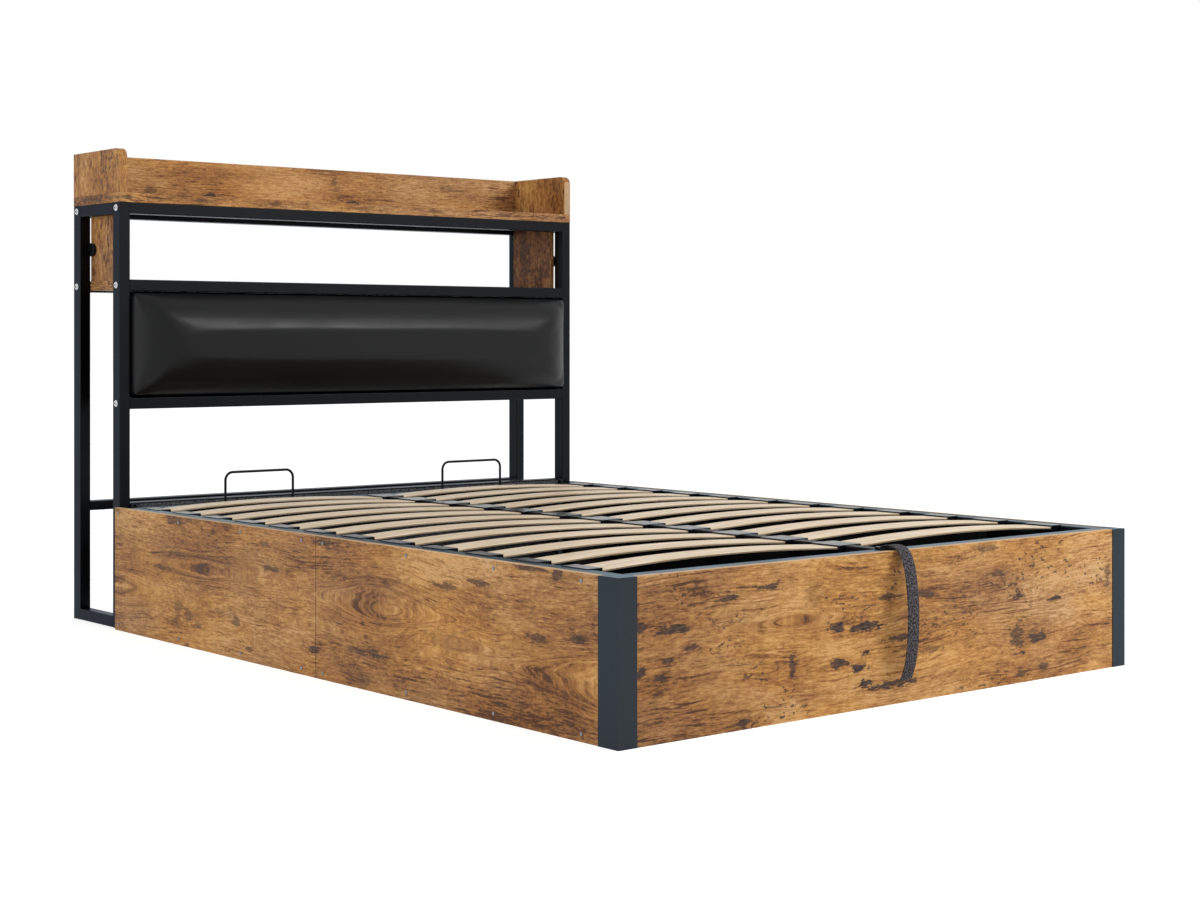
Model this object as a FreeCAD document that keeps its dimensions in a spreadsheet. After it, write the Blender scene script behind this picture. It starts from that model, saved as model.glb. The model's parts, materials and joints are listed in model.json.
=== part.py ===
import FreeCAD, Part
import math
import os
from collections import namedtuple
from types import SimpleNamespace

import Sketcher

# A queen storage bed: a wood-and-steel box with a hinged slatted platform
# on two gas springs, and a headboard with a padded panel and two shelves.
# X runs across the bed, Y from the foot to the headboard and Z up. The
# origin lies on the floor, at the middle of the space that the bed takes.

# Driving sizes in millimetres, angles in degrees, and counts.
SIZES = {
    # The whole bed
    "bed_width": 1550,
    "bed_length": 2318,
    "headboard_deep": 274,
    "box_height": 320,
    "strap_reach": 36,
    "overrun": 5,
    # Boards of the box
    "board_thick": 15,
    "board_recess": 1.5,
    "seam_shift": 2,
    "seam_gap": 1,
    # Corner posts and rails of bent sheet
    "sheet_wall": 2,
    "post_face": 46,
    "post_side": 60,
    "ledge_wide": 30,
    "lower_leg": 30,
    # Screws of the side boards
    "screw_head": 8,
    "screw_head_tall": 1.4,
    "screw_shank": 4,
    "screw_drop": 15,
    "screw_rise": 15.5,
    "head_screw_end": 19.3,
    "foot_screw_end": 29.8,
    # Uprights inside the box
    "upright_wide": 25,
    "upright_wall": 1.5,
    # Cloths of the box
    "cloth_thick": 2,
    "cloth_rise": 4,
    "cloth_drop": 4,
    "cloth_side_gap": 18,
    "floor_cloth_lap": 2,
    # Steel frame of the headboard
    "headboard_inset": 15,
    "frame_wide": 30,
    "frame_deep": 40,
    "frame_height": 1123,
    "frame_wall": 1.5,
    "tube_round": 2,
    "bar_tall": 30,
    "low_bar_tall": 25,
    "end_plate": 3,
    "crossbar_drop": 20,
    # Boards of the headboard
    "shelf_thick": 25,
    "lower_shelf_lift": 4,
    "cheek_tall": 117,
    "cheek_thick": 22,
    "cheek_round": 25,
    "end_panel_thick": 15,
    "end_panel_gap": 4,
    "knob_wide": 36,
    "knob_thick": 8,
    "knob_drop": 119,
    # Bolts of the headboard
    "bolt_washer": 17,
    "bolt_washer_thick": 1,
    "bolt_head": 12,
    "bolt_head_tall": 3,
    "bolt_socket": 6,
    "bolt_socket_deep": 2,
    "bolt_shank": 6,
    "bolt_length": 45,
    # Padded panel
    "cushion_drop": 234,
    "cushion_tall": 282,
    "cushion_front": 70,
    "cushion_lip": 15,
    "cushion_back": 37,
    "cushion_back_inset": 3,
    "cushion_side_slope": 80,
    "cushion_crown": 6,
    # Lifting frame
    "tube_wide": 34,
    "tube_tall": 25,
    "tube_wall": 1.5,
    "tube_drop": 0.7,
    "frame_gap": 1,
    "seat_gap": 0.3,
    "beam_wide": 30,
    # Slats and their holders
    "slat_rows": 12,
    "slat_first": 148,
    "slat_last_gap": 3.3,
    "slat_wide": 78,
    "slat_thick": 7,
    "slat_crown": 11.6,
    "slat_drop": 3.1,
    "slat_hidden": 18,
    "slat_play": 0.3,
    "holder_lip": 7.5,
    "holder_reach": 30.5,
    "holder_proud": 1.7,
    "holder_tall": 15,
    "holder_wall": 1.7,
    "holder_half": 35,
    # Mattress stops
    "stop_rod": 7,
    "stop_place": 307,
    "stop_span": 218,
    "stop_rise": 84,
    "stop_drop": 23,
    "stop_bend": 22,
    # Pull strap
    "strap_wide": 34.5,
    "strap_thick": 2.6,
    "strap_end": 52,
    "strap_lap": 38,
    "anchor_wide": 46,
    "anchor_long": 30,
    "anchor_thick": 3,
    # Hinge of the platform
    "hinge_back": 22,
    "hinge_front": 13,
    "hinge_drop": 16,
    "hinge_round": 12,
    "ear_thick": 4,
    "ear_gap": 0.5,
    "journal": 10,
    "journal_play": 0.05,
    "hinge_head": 18,
    "hinge_head_tall": 5.7,
    "hinge_nut_tall": 5.2,
    "lug_flange": 3,
    "lug_flange_wide": 15.5,
    "lug_rise": 1,
    "lug_drop": 2,
    # Gas springs
    "low_pivot_rise": 38.7,
    "low_pivot_angle": 53.5,
    "high_pivot_angle": 3.5,
    "spring_in": 70,
    "spring_tube": 22,
    "spring_rod": 10,
    "spring_bore": 18.8,
    "spring_play": 0.3,
    "spring_eye": 18,
    "spring_eye_thick": 12,
    "spring_stud": 8,
    "spring_collar": 12,
    "spring_neck": 16,
    "spring_head_gap": 12,
    "spring_guide": 12,
    "spring_piston": 8,
    "spring_floor": 4,
    "clip_thick": 2,
    "bracket_thick": 3,
    "low_bracket_tall": 36,
    "high_bracket_wide": 40,
    "high_bracket_drop": 16,
    "high_bracket_gap": 1,
}

# How far into a round corner its middle lies, as a share of the radius
MIDDLE_SHARE = 1 - math.sqrt(0.5)

# The spans between the columns of screws, as shares of the board's length
SCREW_SPAN_SHARES = (0.3317, 0.3095, 0.2785)

# How far the padded panel's two front levels are drawn in at the top and
# the bottom, as shares of its height
CUSHION_SLOPE_SHARES = (0.22, 0.42)

# The pull strap's bulge, as shares of its reach in front of the foot and
# of the height of the box
STRAP_BULGE_SHARES = ((-0.12, 1.025), (0.44, 0.95), (0.995, 0.594))

# Where the strap's end hangs, as a share of its reach in front of the foot
STRAP_END_SHARE = 0.356

Via = namedtuple("Via", "across up")
Ring = namedtuple("Ring", "across up radius")


class Size:
    """A number together with the expression that gives it in the sheet."""

    def __init__(self, number, text):
        self.number = number
        self.text = text

    def __add__(self, other):
        other = as_size(other)
        return Size(self.number + other.number, f"({self.text} + {other.text})")

    def __sub__(self, other):
        other = as_size(other)
        return Size(self.number - other.number, f"({self.text} - {other.text})")

    def __mul__(self, other):
        other = as_size(other)
        return Size(self.number * other.number, f"({self.text} * {other.text})")

    def __truediv__(self, other):
        other = as_size(other)
        return Size(self.number / other.number, f"({self.text} / {other.text})")

    def __neg__(self):
        return Size(-self.number, f"(0 - {self.text})")

    def cosine(self):
        return Size(math.cos(math.radians(self.number)), f"cos({self.text})")

    def sine(self):
        return Size(math.sin(math.radians(self.number)), f"sin({self.text})")


def as_size(value):
    """Return a Size for a plain count or share."""
    return value if isinstance(value, Size) else Size(value, str(value))


doc = FreeCAD.newDocument("storage_bed")
sheet = doc.addObject("Spreadsheet::Sheet", "Sizes")
for row, (name, value) in enumerate(SIZES.items(), start=1):
    sheet.set(f"A{row}", name)
    sheet.set(f"B{row}", str(value))
    sheet.setAlias(f"B{row}", name)
doc.recompute()
at = SimpleNamespace(**{name: Size(value, f"Sizes.{name}") for name, value in SIZES.items()})
nodes = []

# Planes and levels that many pieces share
left = -at.bed_width / 2
foot = -(at.bed_length - at.strap_reach) / 2
back = foot + at.bed_length
head_front = back - at.headboard_deep
board_in = at.board_recess + at.board_thick
leg_in = board_in + at.sheet_wall
tube_out = leg_in + at.frame_gap
tube_in = tube_out + at.tube_wide
tube_top = at.box_height - at.tube_drop
tube_low = tube_top - at.tube_tall
holder_top = tube_top + at.holder_proud
holder_low = holder_top - at.holder_tall
ledge_top = tube_low - at.seat_gap
ledge_low = ledge_top - at.sheet_wall
post_in = at.headboard_inset + at.frame_wide
seam = (foot + at.post_side + head_front) / 2 + at.seam_shift
hinge_y = head_front - at.hinge_back
hinge_z = at.box_height - at.hinge_drop
frame_back = hinge_y - at.hinge_front
crossbar_low = at.box_height - at.crossbar_drop
cushion_top = at.frame_height - at.cushion_drop
cushion_low = cushion_top - at.cushion_tall
slat_run = frame_back - at.tube_wide - foot - at.slat_first - at.slat_wide - at.slat_last_gap
slat_pitch = slat_run / (at.slat_rows - 1)
spring_arm = (hinge_z - at.low_pivot_rise) / at.low_pivot_angle.sine()


def bind(piece, place, size):
    """Bind one property of a piece to the sheet."""
    piece.setExpression(place, as_size(size).text)


def keep(node, piece):
    """Keep a finished piece as a sub-part under its own name."""
    piece.Label = node
    nodes.append(piece)
    return piece


def block(low, high):
    """A box between two corners."""
    piece = doc.addObject("Part::Box", "Block")
    for side, axis, start, end in zip(("Length", "Width", "Height"), "xyz", low, high):
        bind(piece, side, as_size(end) - start)
        bind(piece, f"Placement.Base.{axis}", start)
    return piece


def pin(start, length, diameter):
    """A cylinder that runs along +X from its start."""
    piece = doc.addObject("Part::Cylinder", "Pin")
    turn = FreeCAD.Rotation(FreeCAD.Vector(0, 1, 0), 90)
    piece.Placement = FreeCAD.Placement(FreeCAD.Vector(), turn)
    bind(piece, "Radius", diameter / 2)
    bind(piece, "Height", length)
    for axis, size in zip("xyz", start):
        bind(piece, f"Placement.Base.{axis}", size)
    return piece


def fused(*pieces):
    """Several touching pieces welded into one."""
    piece = doc.addObject("Part::MultiFuse", "Welded")
    piece.Shapes = list(pieces)
    return piece


def together(*pieces):
    """Several separate pieces kept as one group."""
    piece = doc.addObject("Part::Compound", "Group")
    piece.Links = list(pieces)
    return piece


def cut(base, tool):
    """A piece with another one's space cut out of it."""
    piece = doc.addObject("Part::Cut", "Cut")
    piece.Base = base
    piece.Tool = tool
    return piece


def mirrored(source):
    """The same piece on the other side of the bed."""
    piece = doc.addObject("Part::Mirroring", "Mirrored")
    piece.Source = source
    piece.Normal = FreeCAD.Vector(1, 0, 0)
    return piece


def keep_pair(node, source):
    """Keep a left-hand piece and its mirror image as two sub-parts."""
    return keep(f"left_{node}", source), keep(f"right_{node}", mirrored(source))


def hold_point(sketch, element, spot, point):
    """Bind a sketch point's two coordinates to the sheet."""
    for kind, size in zip(("DistanceX", "DistanceY"), point):
        size = as_size(size)
        rule = Sketcher.Constraint(kind, element, spot, size.number)
        bind(sketch, f"Constraints[{sketch.addConstraint(rule)}]", size)


def vector(point):
    """A sketch point as a vector."""
    return FreeCAD.Vector(as_size(point[0]).number, as_size(point[1]).number, 0)


def draw_ring(sketch, ring):
    """A circle held at its middle and its radius."""
    circle = Part.Circle(vector(ring), FreeCAD.Vector(0, 0, 1), ring.radius.number)
    element = sketch.addGeometry(circle)
    hold_point(sketch, element, 3, ring)
    rule = Sketcher.Constraint("Radius", element, ring.radius.number)
    bind(sketch, f"Constraints[{sketch.addConstraint(rule)}]", ring.radius)


def draw_arc(sketch, start, middle, end):
    """An arc through a Via; returns the element and its start and end spots."""
    element = sketch.addGeometry(Part.Arc(vector(start), vector(middle), vector(end)))
    spot = sketch.addGeometry(Part.Point(vector(middle)), True)
    hold_point(sketch, spot, 1, middle)
    sketch.addConstraint(Sketcher.Constraint("PointOnObject", spot, 1, element))
    forward = (sketch.getPoint(element, 1) - vector(start)).Length
    reverse = (sketch.getPoint(element, 2) - vector(start)).Length
    return (element, 1, 2) if forward < reverse else (element, 2, 1)


def draw_outline(sketch, points, closed=True):
    """Lines between points, with an arc wherever a Via lies between two."""
    stops = list(points) + [points[0]] * closed
    edges = []
    place = 0
    while place < len(stops) - 1:
        start, middle = stops[place], stops[place + 1]
        if isinstance(middle, Via):
            edge = draw_arc(sketch, start, middle, stops[place + 2])
            place += 2
        else:
            line = Part.LineSegment(vector(start), vector(middle))
            edge = (sketch.addGeometry(line), 1, 2)
            place += 1
        hold_point(sketch, edge[0], edge[1], start)
        edges.append(edge)
    following = edges[1:] + edges[:1] * closed
    for (element, _, end), (other, begin, _) in zip(edges, following):
        sketch.addConstraint(Sketcher.Constraint("Coincident", element, end, other, begin))
    if not closed:
        hold_point(sketch, edges[-1][0], edges[-1][2], points[-1])


def new_sketch(body, plane, offset, *outlines, closed=True):
    """A sketch on one of the body's own planes, moved along the plane's normal."""
    sketch = body.newObject("Sketcher::SketchObject", "Sketch")
    support = [part for part in body.Origin.OriginFeatures if part.Role == f"{plane}_Plane"]
    sketch.AttachmentSupport = [(support[0], "")]
    sketch.MapMode = "FlatFace"
    bind(sketch, "AttachmentOffset.Base.z", -as_size(offset) if plane == "XZ" else offset)
    for outline in outlines:
        if isinstance(outline, Ring):
            draw_ring(sketch, outline)
        else:
            draw_outline(sketch, outline, closed)
    return sketch


def add_pad(body, plane, start, end, *outlines):
    """Fill an outline from start to end along the third axis."""
    sketch = new_sketch(body, plane, end if plane == "XZ" else start, *outlines)
    pad = body.newObject("PartDesign::Pad", "Pad")
    pad.Profile = sketch
    bind(pad, "Length", as_size(end) - start)
    return pad


def add_pocket(body, plane, start, end, *outlines):
    """Cut an outline out from start to end along the third axis."""
    sketch = new_sketch(body, plane, start if plane == "XZ" else end, *outlines)
    pocket = body.newObject("PartDesign::Pocket", "Pocket")
    pocket.Profile = sketch
    bind(pocket, "Length", as_size(end) - start)
    return pocket


def add_turned(body, outline):
    """Turn an outline around the body's own vertical axis."""
    sketch = new_sketch(body, "XZ", 0, outline)
    turned = body.newObject("PartDesign::Revolution", "Turned")
    turned.Profile = sketch
    turned.ReferenceAxis = (sketch, ["V_Axis"])
    turned.Angle = 360
    return turned


def add_rows(body, features):
    """Repeat features once for each row of slats."""
    rows = body.newObject("PartDesign::LinearPattern", "Rows")
    rows.Originals = features
    axis = [part for part in body.Origin.OriginFeatures if part.Role == "Y_Axis"]
    rows.Direction = (axis[0], [""])
    rows.Mode = "Spacing"
    bind(rows, "Offset", slat_pitch)
    bind(rows, "Occurrences", at.slat_rows)
    body.Tip = rows


def new_body():
    """An empty body."""
    return doc.addObject("PartDesign::Body", "Body")


def padded(plane, start, end, *outlines):
    """A body made of a single pad."""
    body = new_body()
    add_pad(body, plane, start, end, *outlines)
    return body


def rectangle(low, high):
    """A rectangle between two corners."""
    return [low, (high[0], low[1]), high, (low[0], high[1])]


def round_rectangle(low, high, radius):
    """A rectangle with four round corners."""
    dip = radius * MIDDLE_SHARE
    return [
        (low[0] + radius, low[1]),
        (high[0] - radius, low[1]),
        Via(high[0] - dip, low[1] + dip),
        (high[0], low[1] + radius),
        (high[0], high[1] - radius),
        Via(high[0] - dip, high[1] - dip),
        (high[0] - radius, high[1]),
        (low[0] + radius, high[1]),
        Via(low[0] + dip, high[1] - dip),
        (low[0], high[1] - radius),
        (low[0], low[1] + radius),
        Via(low[0] + dip, low[1] + dip),
    ]


def tube(plane, start, end, low, high, wall):
    """A rectangular tube with round outer edges."""
    low = tuple(as_size(size) for size in low)
    high = tuple(as_size(size) for size in high)
    inner = rectangle((low[0] + wall, low[1] + wall), (high[0] - wall, high[1] - wall))
    return padded(plane, start, end, round_rectangle(low, high, at.tube_round), inner)


def crossbar(front, low, tall):
    """A tube across the headboard, closed by a plate at each end."""
    start = left + post_in
    corner = (front, low)
    far = (front + at.frame_deep, low + tall)
    body = tube("YZ", start, -start, corner, far, at.frame_wall)
    inner = rectangle(
        (corner[0] + at.frame_wall, corner[1] + at.frame_wall),
        (far[0] - at.frame_wall, far[1] - at.frame_wall),
    )
    add_pad(body, "YZ", start, start + at.end_plate, inner)
    add_pad(body, "YZ", -start - at.end_plate, -start, inner)
    return body


def angle_outline(outer, low, high):
    """The section of a bent rail: an upright leg and a ledge to the inside."""
    return [
        (outer, high),
        (outer + at.sheet_wall, high),
        (outer + at.sheet_wall, low + at.sheet_wall),
        (outer + at.ledge_wide, low + at.sheet_wall),
        (outer + at.ledge_wide, low),
        (outer, low),
    ]


def screw_places(start, end, margin):
    """Where the columns of screws of one side board stand, from its head end."""
    places = [end - margin]
    for share in SCREW_SPAN_SHARES:
        places.append(places[-1] - (end - start) * share)
    return places


head_screws = screw_places(seam, head_front, at.head_screw_end)
foot_screws = screw_places(foot + at.post_side, seam, at.foot_screw_end)


def side_screw(y, z):
    """A screw through a side board and the rail behind it."""
    face = left + at.board_recess
    head = pin((face - at.screw_head_tall, y, z), at.screw_head_tall, at.screw_head)
    shank = pin((face, y, z), leg_in - at.board_recess, at.screw_shank)
    return fused(head, shank)


def board_screws(places):
    """All screws of one side board."""
    levels = (at.box_height - at.screw_drop, at.screw_rise)
    return together(*[side_screw(y, z) for y in places for z in levels])


def side_board(start, end, screws):
    """One of the two boards of a side, with its screw holes."""
    low = (left + at.board_recess, start, 0)
    high = (left + board_in, end, at.box_height)
    return cut(block(low, high), screws)


def build_boards():
    """The foot board, the four side boards and their screws."""
    edge = left + at.post_face
    front = foot + at.board_recess
    keep("foot_panel", block((edge, front, 0), (-edge, foot + board_in, at.box_height)))
    head_group = board_screws(head_screws)
    foot_group = board_screws(foot_screws)
    half_gap = at.seam_gap / 2
    keep_pair("head_panel", side_board(seam + half_gap, head_front, head_group))
    keep_pair("foot_panel", side_board(foot + at.post_side, seam - half_gap, foot_group))
    group = together(head_group, foot_group)
    keep("panel_screws", together(group, mirrored(group)))
    return group


def build_corner_posts():
    """The steel corner posts at the foot, with their top plates."""
    wall = at.sheet_wall
    lip = left + board_in
    lip_y = foot + board_in
    face = left + at.post_face
    side = foot + at.post_side
    section = [
        (left, foot),
        (face, foot),
        (face, lip_y),
        (face - wall, lip_y),
        (face - wall, foot + wall),
        (left + wall, foot + wall),
        (left + wall, side - wall),
        (lip, side - wall),
        (lip, side),
        (left, side),
    ]
    plate = [(left, foot), (face, foot), (face, lip_y), (lip, lip_y), (lip, side), (left, side)]
    body = padded("XY", 0, at.box_height - wall, section)
    add_pad(body, "XY", at.box_height - wall, at.box_height, plate)
    keep_pair("corner_post", body)


def build_rails(screws):
    """The bent rails that hold the boards and carry the platform."""
    levels = (("upper_rail", ledge_low, at.box_height), ("lower_rail", as_size(0), at.lower_leg))
    for node, low, high in levels:
        section = angle_outline(left + board_in, low, high)
        rail = padded("XZ", foot + board_in, head_front, section)
        keep_pair(node, cut(rail, screws))
        start = left + board_in + at.ledge_wide
        section = angle_outline(foot + board_in, low, high)
        keep(f"foot_{node}", padded("YZ", start, -start, section))


def spring_pivot(angle):
    """A gas spring's pivot, at a given angle under the platform's hinge."""
    return hinge_y - spring_arm * angle.cosine(), hinge_z - spring_arm * angle.sine()


low_pivot = spring_pivot(at.low_pivot_angle)
high_pivot = spring_pivot(at.high_pivot_angle)
upright_in = leg_in + at.upright_wide


def build_uprights():
    """The uprights that stand between the lower and the upper rails."""
    middles = (low_pivot[0], head_screws[2], seam, foot_screws[2])
    half = at.upright_wide / 2
    uprights = [
        tube(
            "XY", at.sheet_wall, ledge_low,
            (left + leg_in, middle - half), (left + upright_in, middle + half),
            at.upright_wall,
        )
        for middle in middles
    ]
    group = together(*uprights)
    keep("side_uprights", together(group, mirrored(group)))


def build_cloths():
    """The cloth behind the platform's head end and the cloth on the floor."""
    edge = left + post_in + at.cloth_side_gap
    front = head_front - at.cloth_thick
    top = crossbar_low + at.bar_tall - at.cloth_drop
    keep("head_cloth", block((edge, front, at.cloth_rise), (-edge, head_front, top)))
    side = left + board_in + at.ledge_wide - at.floor_cloth_lap
    near = foot + board_in + at.cloth_rise
    far = front - at.floor_cloth_lap
    top = at.sheet_wall + at.cloth_thick
    keep("floor_cloth", block((side, near, at.sheet_wall), (-side, far, top)))


def frame_bolt(y, z):
    """A socket bolt through a post of the headboard into a crossbar."""
    face = left + at.headboard_inset
    washer_face = face - at.bolt_washer_thick
    head_face = washer_face - at.bolt_head_tall
    solid = fused(
        pin((head_face, y, z), at.bolt_head_tall, at.bolt_head),
        pin((washer_face, y, z), at.bolt_washer_thick, at.bolt_washer),
        pin((face, y, z), at.bolt_length, at.bolt_shank),
    )
    return cut(solid, pin((head_face, y, z), at.bolt_socket_deep, at.bolt_socket))


def build_frame():
    """The headboard's welded side frames, its crossbars and their bolts."""
    inset = left + at.headboard_inset
    inner = left + post_in
    front_in = head_front + at.frame_deep
    back_in = back - at.frame_deep
    rail_top = at.frame_height
    rail_low = rail_top - at.bar_tall
    wall = at.frame_wall
    side = fused(
        tube("XY", 0, rail_top, (inset, head_front), (inner, front_in), wall),
        tube("XY", 0, rail_top, (inset, back_in), (inner, back), wall),
        tube("XZ", front_in, back_in, (inset, rail_low), (inner, rail_top), wall),
        tube("XZ", front_in, back_in, (inset, 0), (inner, at.bar_tall), wall),
    )
    half_bar = at.bar_tall / 2
    half_post = at.frame_deep / 2
    support = cushion_low - at.bar_tall
    places = (
        (head_front + half_post, rail_low + half_bar),
        (back - half_post, rail_low + half_bar),
        (head_front + half_post, cushion_top + half_bar),
        (back - half_post, cushion_top + half_bar),
        (head_front + half_post, support + half_bar),
    )
    bolts = together(*[frame_bolt(y, z) for y, z in places])
    both = together(bolts, mirrored(bolts))
    keep("frame_bolts", both)
    keep_pair("side_frame", cut(side, bolts))
    low_bar = at.box_height - at.low_bar_tall
    bars = (
        ("top_front_bar", head_front, rail_low),
        ("top_back_bar", back_in, rail_low),
        ("cushion_top_bar", head_front, cushion_top),
        ("mid_back_bar", back_in, cushion_top),
        ("cushion_bottom_bar", head_front, support),
    )
    for node, front, low in bars:
        keep(node, cut(crossbar(front, low, at.bar_tall), both))
    keep("head_crossbar", crossbar(head_front, crossbar_low, at.bar_tall))
    keep("low_back_bar", crossbar(back_in, low_bar, at.low_bar_tall))


def cheek_outline(front, rear, low, high):
    """The side view of a cheek, with its upper front corner rounded."""
    radius = at.cheek_round
    dip = radius * MIDDLE_SHARE
    return [
        (front, low),
        (rear, low),
        (rear, high),
        (front + radius, high),
        Via(front + dip, high - dip),
        (front, high - radius),
    ]


def build_shelves():
    """The headboard's shelves, cheeks, back board, end panels and knobs."""
    inset = left + at.headboard_inset
    inner = left + post_in
    front_in = head_front + at.frame_deep
    back_in = back - at.frame_deep
    top = at.frame_height + at.shelf_thick
    crest = top + at.cheek_tall
    keep("shelf_board", block((inset, head_front, at.frame_height), (-inset, back, top)))
    cheek_in = inset + at.cheek_thick
    cheek = padded("YZ", inset, cheek_in, cheek_outline(head_front, back, top, crest))
    keep_pair("cheek", cheek)
    keep("back_board", block((cheek_in, back - at.cheek_thick, top), (-cheek_in, back, crest)))
    shelf_low = cushion_top + at.lower_shelf_lift
    shelf_top = shelf_low + at.shelf_thick
    keep("lower_shelf", block((inner, front_in, shelf_low), (-inner, back_in, shelf_top)))
    near = front_in + at.end_panel_gap
    far = back_in - at.end_panel_gap
    panel_in = inner + at.end_panel_thick
    keep_pair("end_panel", block((inner, near, shelf_top), (panel_in, far, at.frame_height)))
    half = at.knob_wide / 2
    level = at.frame_height - at.knob_drop
    knobs = together(*[
        pin((inner - at.knob_thick, y, level), at.knob_thick, at.knob_wide)
        for y in (front_in + half, back_in - half)
    ])
    keep("panel_knobs", together(knobs, mirrored(knobs)))


def cushion_section(side, height, y):
    """Where one level of the padded panel lies, drawn in at the sides and at the top."""
    edge = left + post_in + side
    low = cushion_low + height
    high = cushion_top - height
    return y, rectangle((edge, low), (-edge, high))


def build_cushion():
    """The padded panel: a lip between the posts, sloped edges and a slight crown."""
    front = head_front - at.cushion_front
    inset = at.cushion_back_inset
    slope = at.cushion_side_slope
    near, far = [at.cushion_tall * share for share in CUSHION_SLOPE_SHARES]
    zero = as_size(0)
    levels = (
        cushion_section(inset, inset, head_front + at.cushion_back),
        cushion_section(zero, zero, head_front - at.cushion_lip),
        cushion_section(slope, near, front + at.cushion_crown),
        cushion_section(slope * 2, far, front),
    )
    body = new_body()
    sections = [new_sketch(body, "XZ", y, outline) for y, outline in levels]
    loft = body.newObject("PartDesign::AdditiveLoft", "Padding")
    loft.Profile = sections[0]
    loft.Sections = sections[1:]
    loft.Ruled = True
    keep("cushion", body)


def build_lifting_frame():
    """The tubes of the lifting frame and its middle beam."""
    outer = left + tube_out
    inner = left + tube_in
    foot_out = foot + tube_out
    foot_in = foot + tube_in
    head_in = frame_back - at.tube_wide
    wall = at.tube_wall
    side = tube("XZ", foot_out, frame_back, (outer, tube_low), (inner, tube_top), wall)
    keep_pair("lift_tube", side)
    ends = (("foot_lift_tube", foot_out, foot_in), ("head_lift_tube", head_in, frame_back))
    for node, near, far in ends:
        keep(node, tube("YZ", inner, -inner, (near, tube_low), (far, tube_top), wall))
    half = at.beam_wide / 2
    beam = tube("XZ", foot_in, head_in, (-half, tube_low), (half, tube_top), wall)
    keep("centre_beam", beam)


def slat_ends():
    """The hidden ends of a slat of the left column."""
    outer = left + tube_in + at.holder_reach - at.slat_hidden
    inner = at.slat_hidden - at.holder_half
    return outer, inner


def pocket_levels():
    """The floor and the roof of the pocket that takes a slat's end."""
    outer, inner = slat_ends()
    half = (inner - outer) / 2
    seen_share = (half - at.slat_hidden) / half
    end_top = tube_top - at.slat_drop
    mouth_top = end_top + at.slat_crown * (as_size(1) - seen_share * seen_share)
    return end_top - at.slat_thick - at.slat_play, mouth_top + at.slat_play


def build_slats():
    """The two columns of bent slats."""
    outer, inner = slat_ends()
    middle = (outer + inner) / 2
    top = tube_top - at.slat_drop
    low = top - at.slat_thick
    outline = [
        (outer, low),
        Via(middle, low + at.slat_crown),
        (inner, low),
        (inner, top),
        Via(middle, top + at.slat_crown),
        (outer, top),
    ]
    start = foot + at.slat_first
    body = new_body()
    pad = add_pad(body, "XZ", start, start + at.slat_wide, outline)
    add_rows(body, [pad])
    keep_pair("slats", body)


def build_holders():
    """The plastic holders on the side tubes and on the middle beam."""
    start = foot + at.slat_first - at.slat_play - at.holder_wall
    end = start + at.slat_wide + (at.slat_play + at.holder_wall) * 2
    pocket_low, pocket_high = pocket_levels()
    near = (start + at.holder_wall, pocket_low)
    far = (end - at.holder_wall, pocket_high)
    tube_face = left + tube_in
    mouth = tube_face + at.holder_reach
    outline = [
        (tube_face - at.holder_lip, tube_top),
        (tube_face, tube_top),
        (tube_face, holder_low),
        (mouth, holder_low),
        (mouth, holder_top),
        (tube_face - at.holder_lip, holder_top),
    ]
    body = new_body()
    pad = add_pad(body, "XZ", start, end, outline)
    pocket = add_pocket(body, "YZ", mouth - at.slat_hidden, mouth, rectangle(near, far))
    add_rows(body, [pad, pocket])
    keep("outer_holders", together(body, mirrored(body)))
    half = at.beam_wide / 2
    mouth = at.holder_half
    outline = [
        (-mouth, holder_low),
        (-half, holder_low),
        (-half, tube_top),
        (half, tube_top),
        (half, holder_low),
        (mouth, holder_low),
        (mouth, holder_top),
        (-mouth, holder_top),
    ]
    body = new_body()
    pad = add_pad(body, "XZ", start, end, outline)
    depth = at.slat_hidden
    one = add_pocket(body, "YZ", mouth - depth, mouth, rectangle(near, far))
    other = add_pocket(body, "YZ", -mouth, depth - mouth, rectangle(near, far))
    add_rows(body, [pad, one, other])
    keep("centre_holders", body)


def build_stops():
    """The bent rods that keep the mattress off the headboard."""
    half = at.stop_rod / 2
    start = left + at.stop_place + half
    end = start + at.stop_span - at.stop_rod
    root = at.box_height - at.stop_drop
    top = at.box_height + at.stop_rise - half
    bend = at.stop_bend
    dip = bend * MIDDLE_SHARE
    y = frame_back + half
    path = [
        (start, root),
        (start, top - bend),
        Via(start + dip, top - dip),
        (start + bend, top),
        (end - bend, top),
        Via(end - dip, top - dip),
        (end, top - bend),
        (end, root),
    ]
    body = new_body()
    profile = new_sketch(body, "XY", root, Ring(start, y, half))
    spine = new_sketch(body, "XZ", y, path, closed=False)
    rod = body.newObject("PartDesign::AdditivePipe", "Rod")
    rod.Profile = profile
    rod.Spine = spine
    keep_pair("stop", body)


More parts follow.
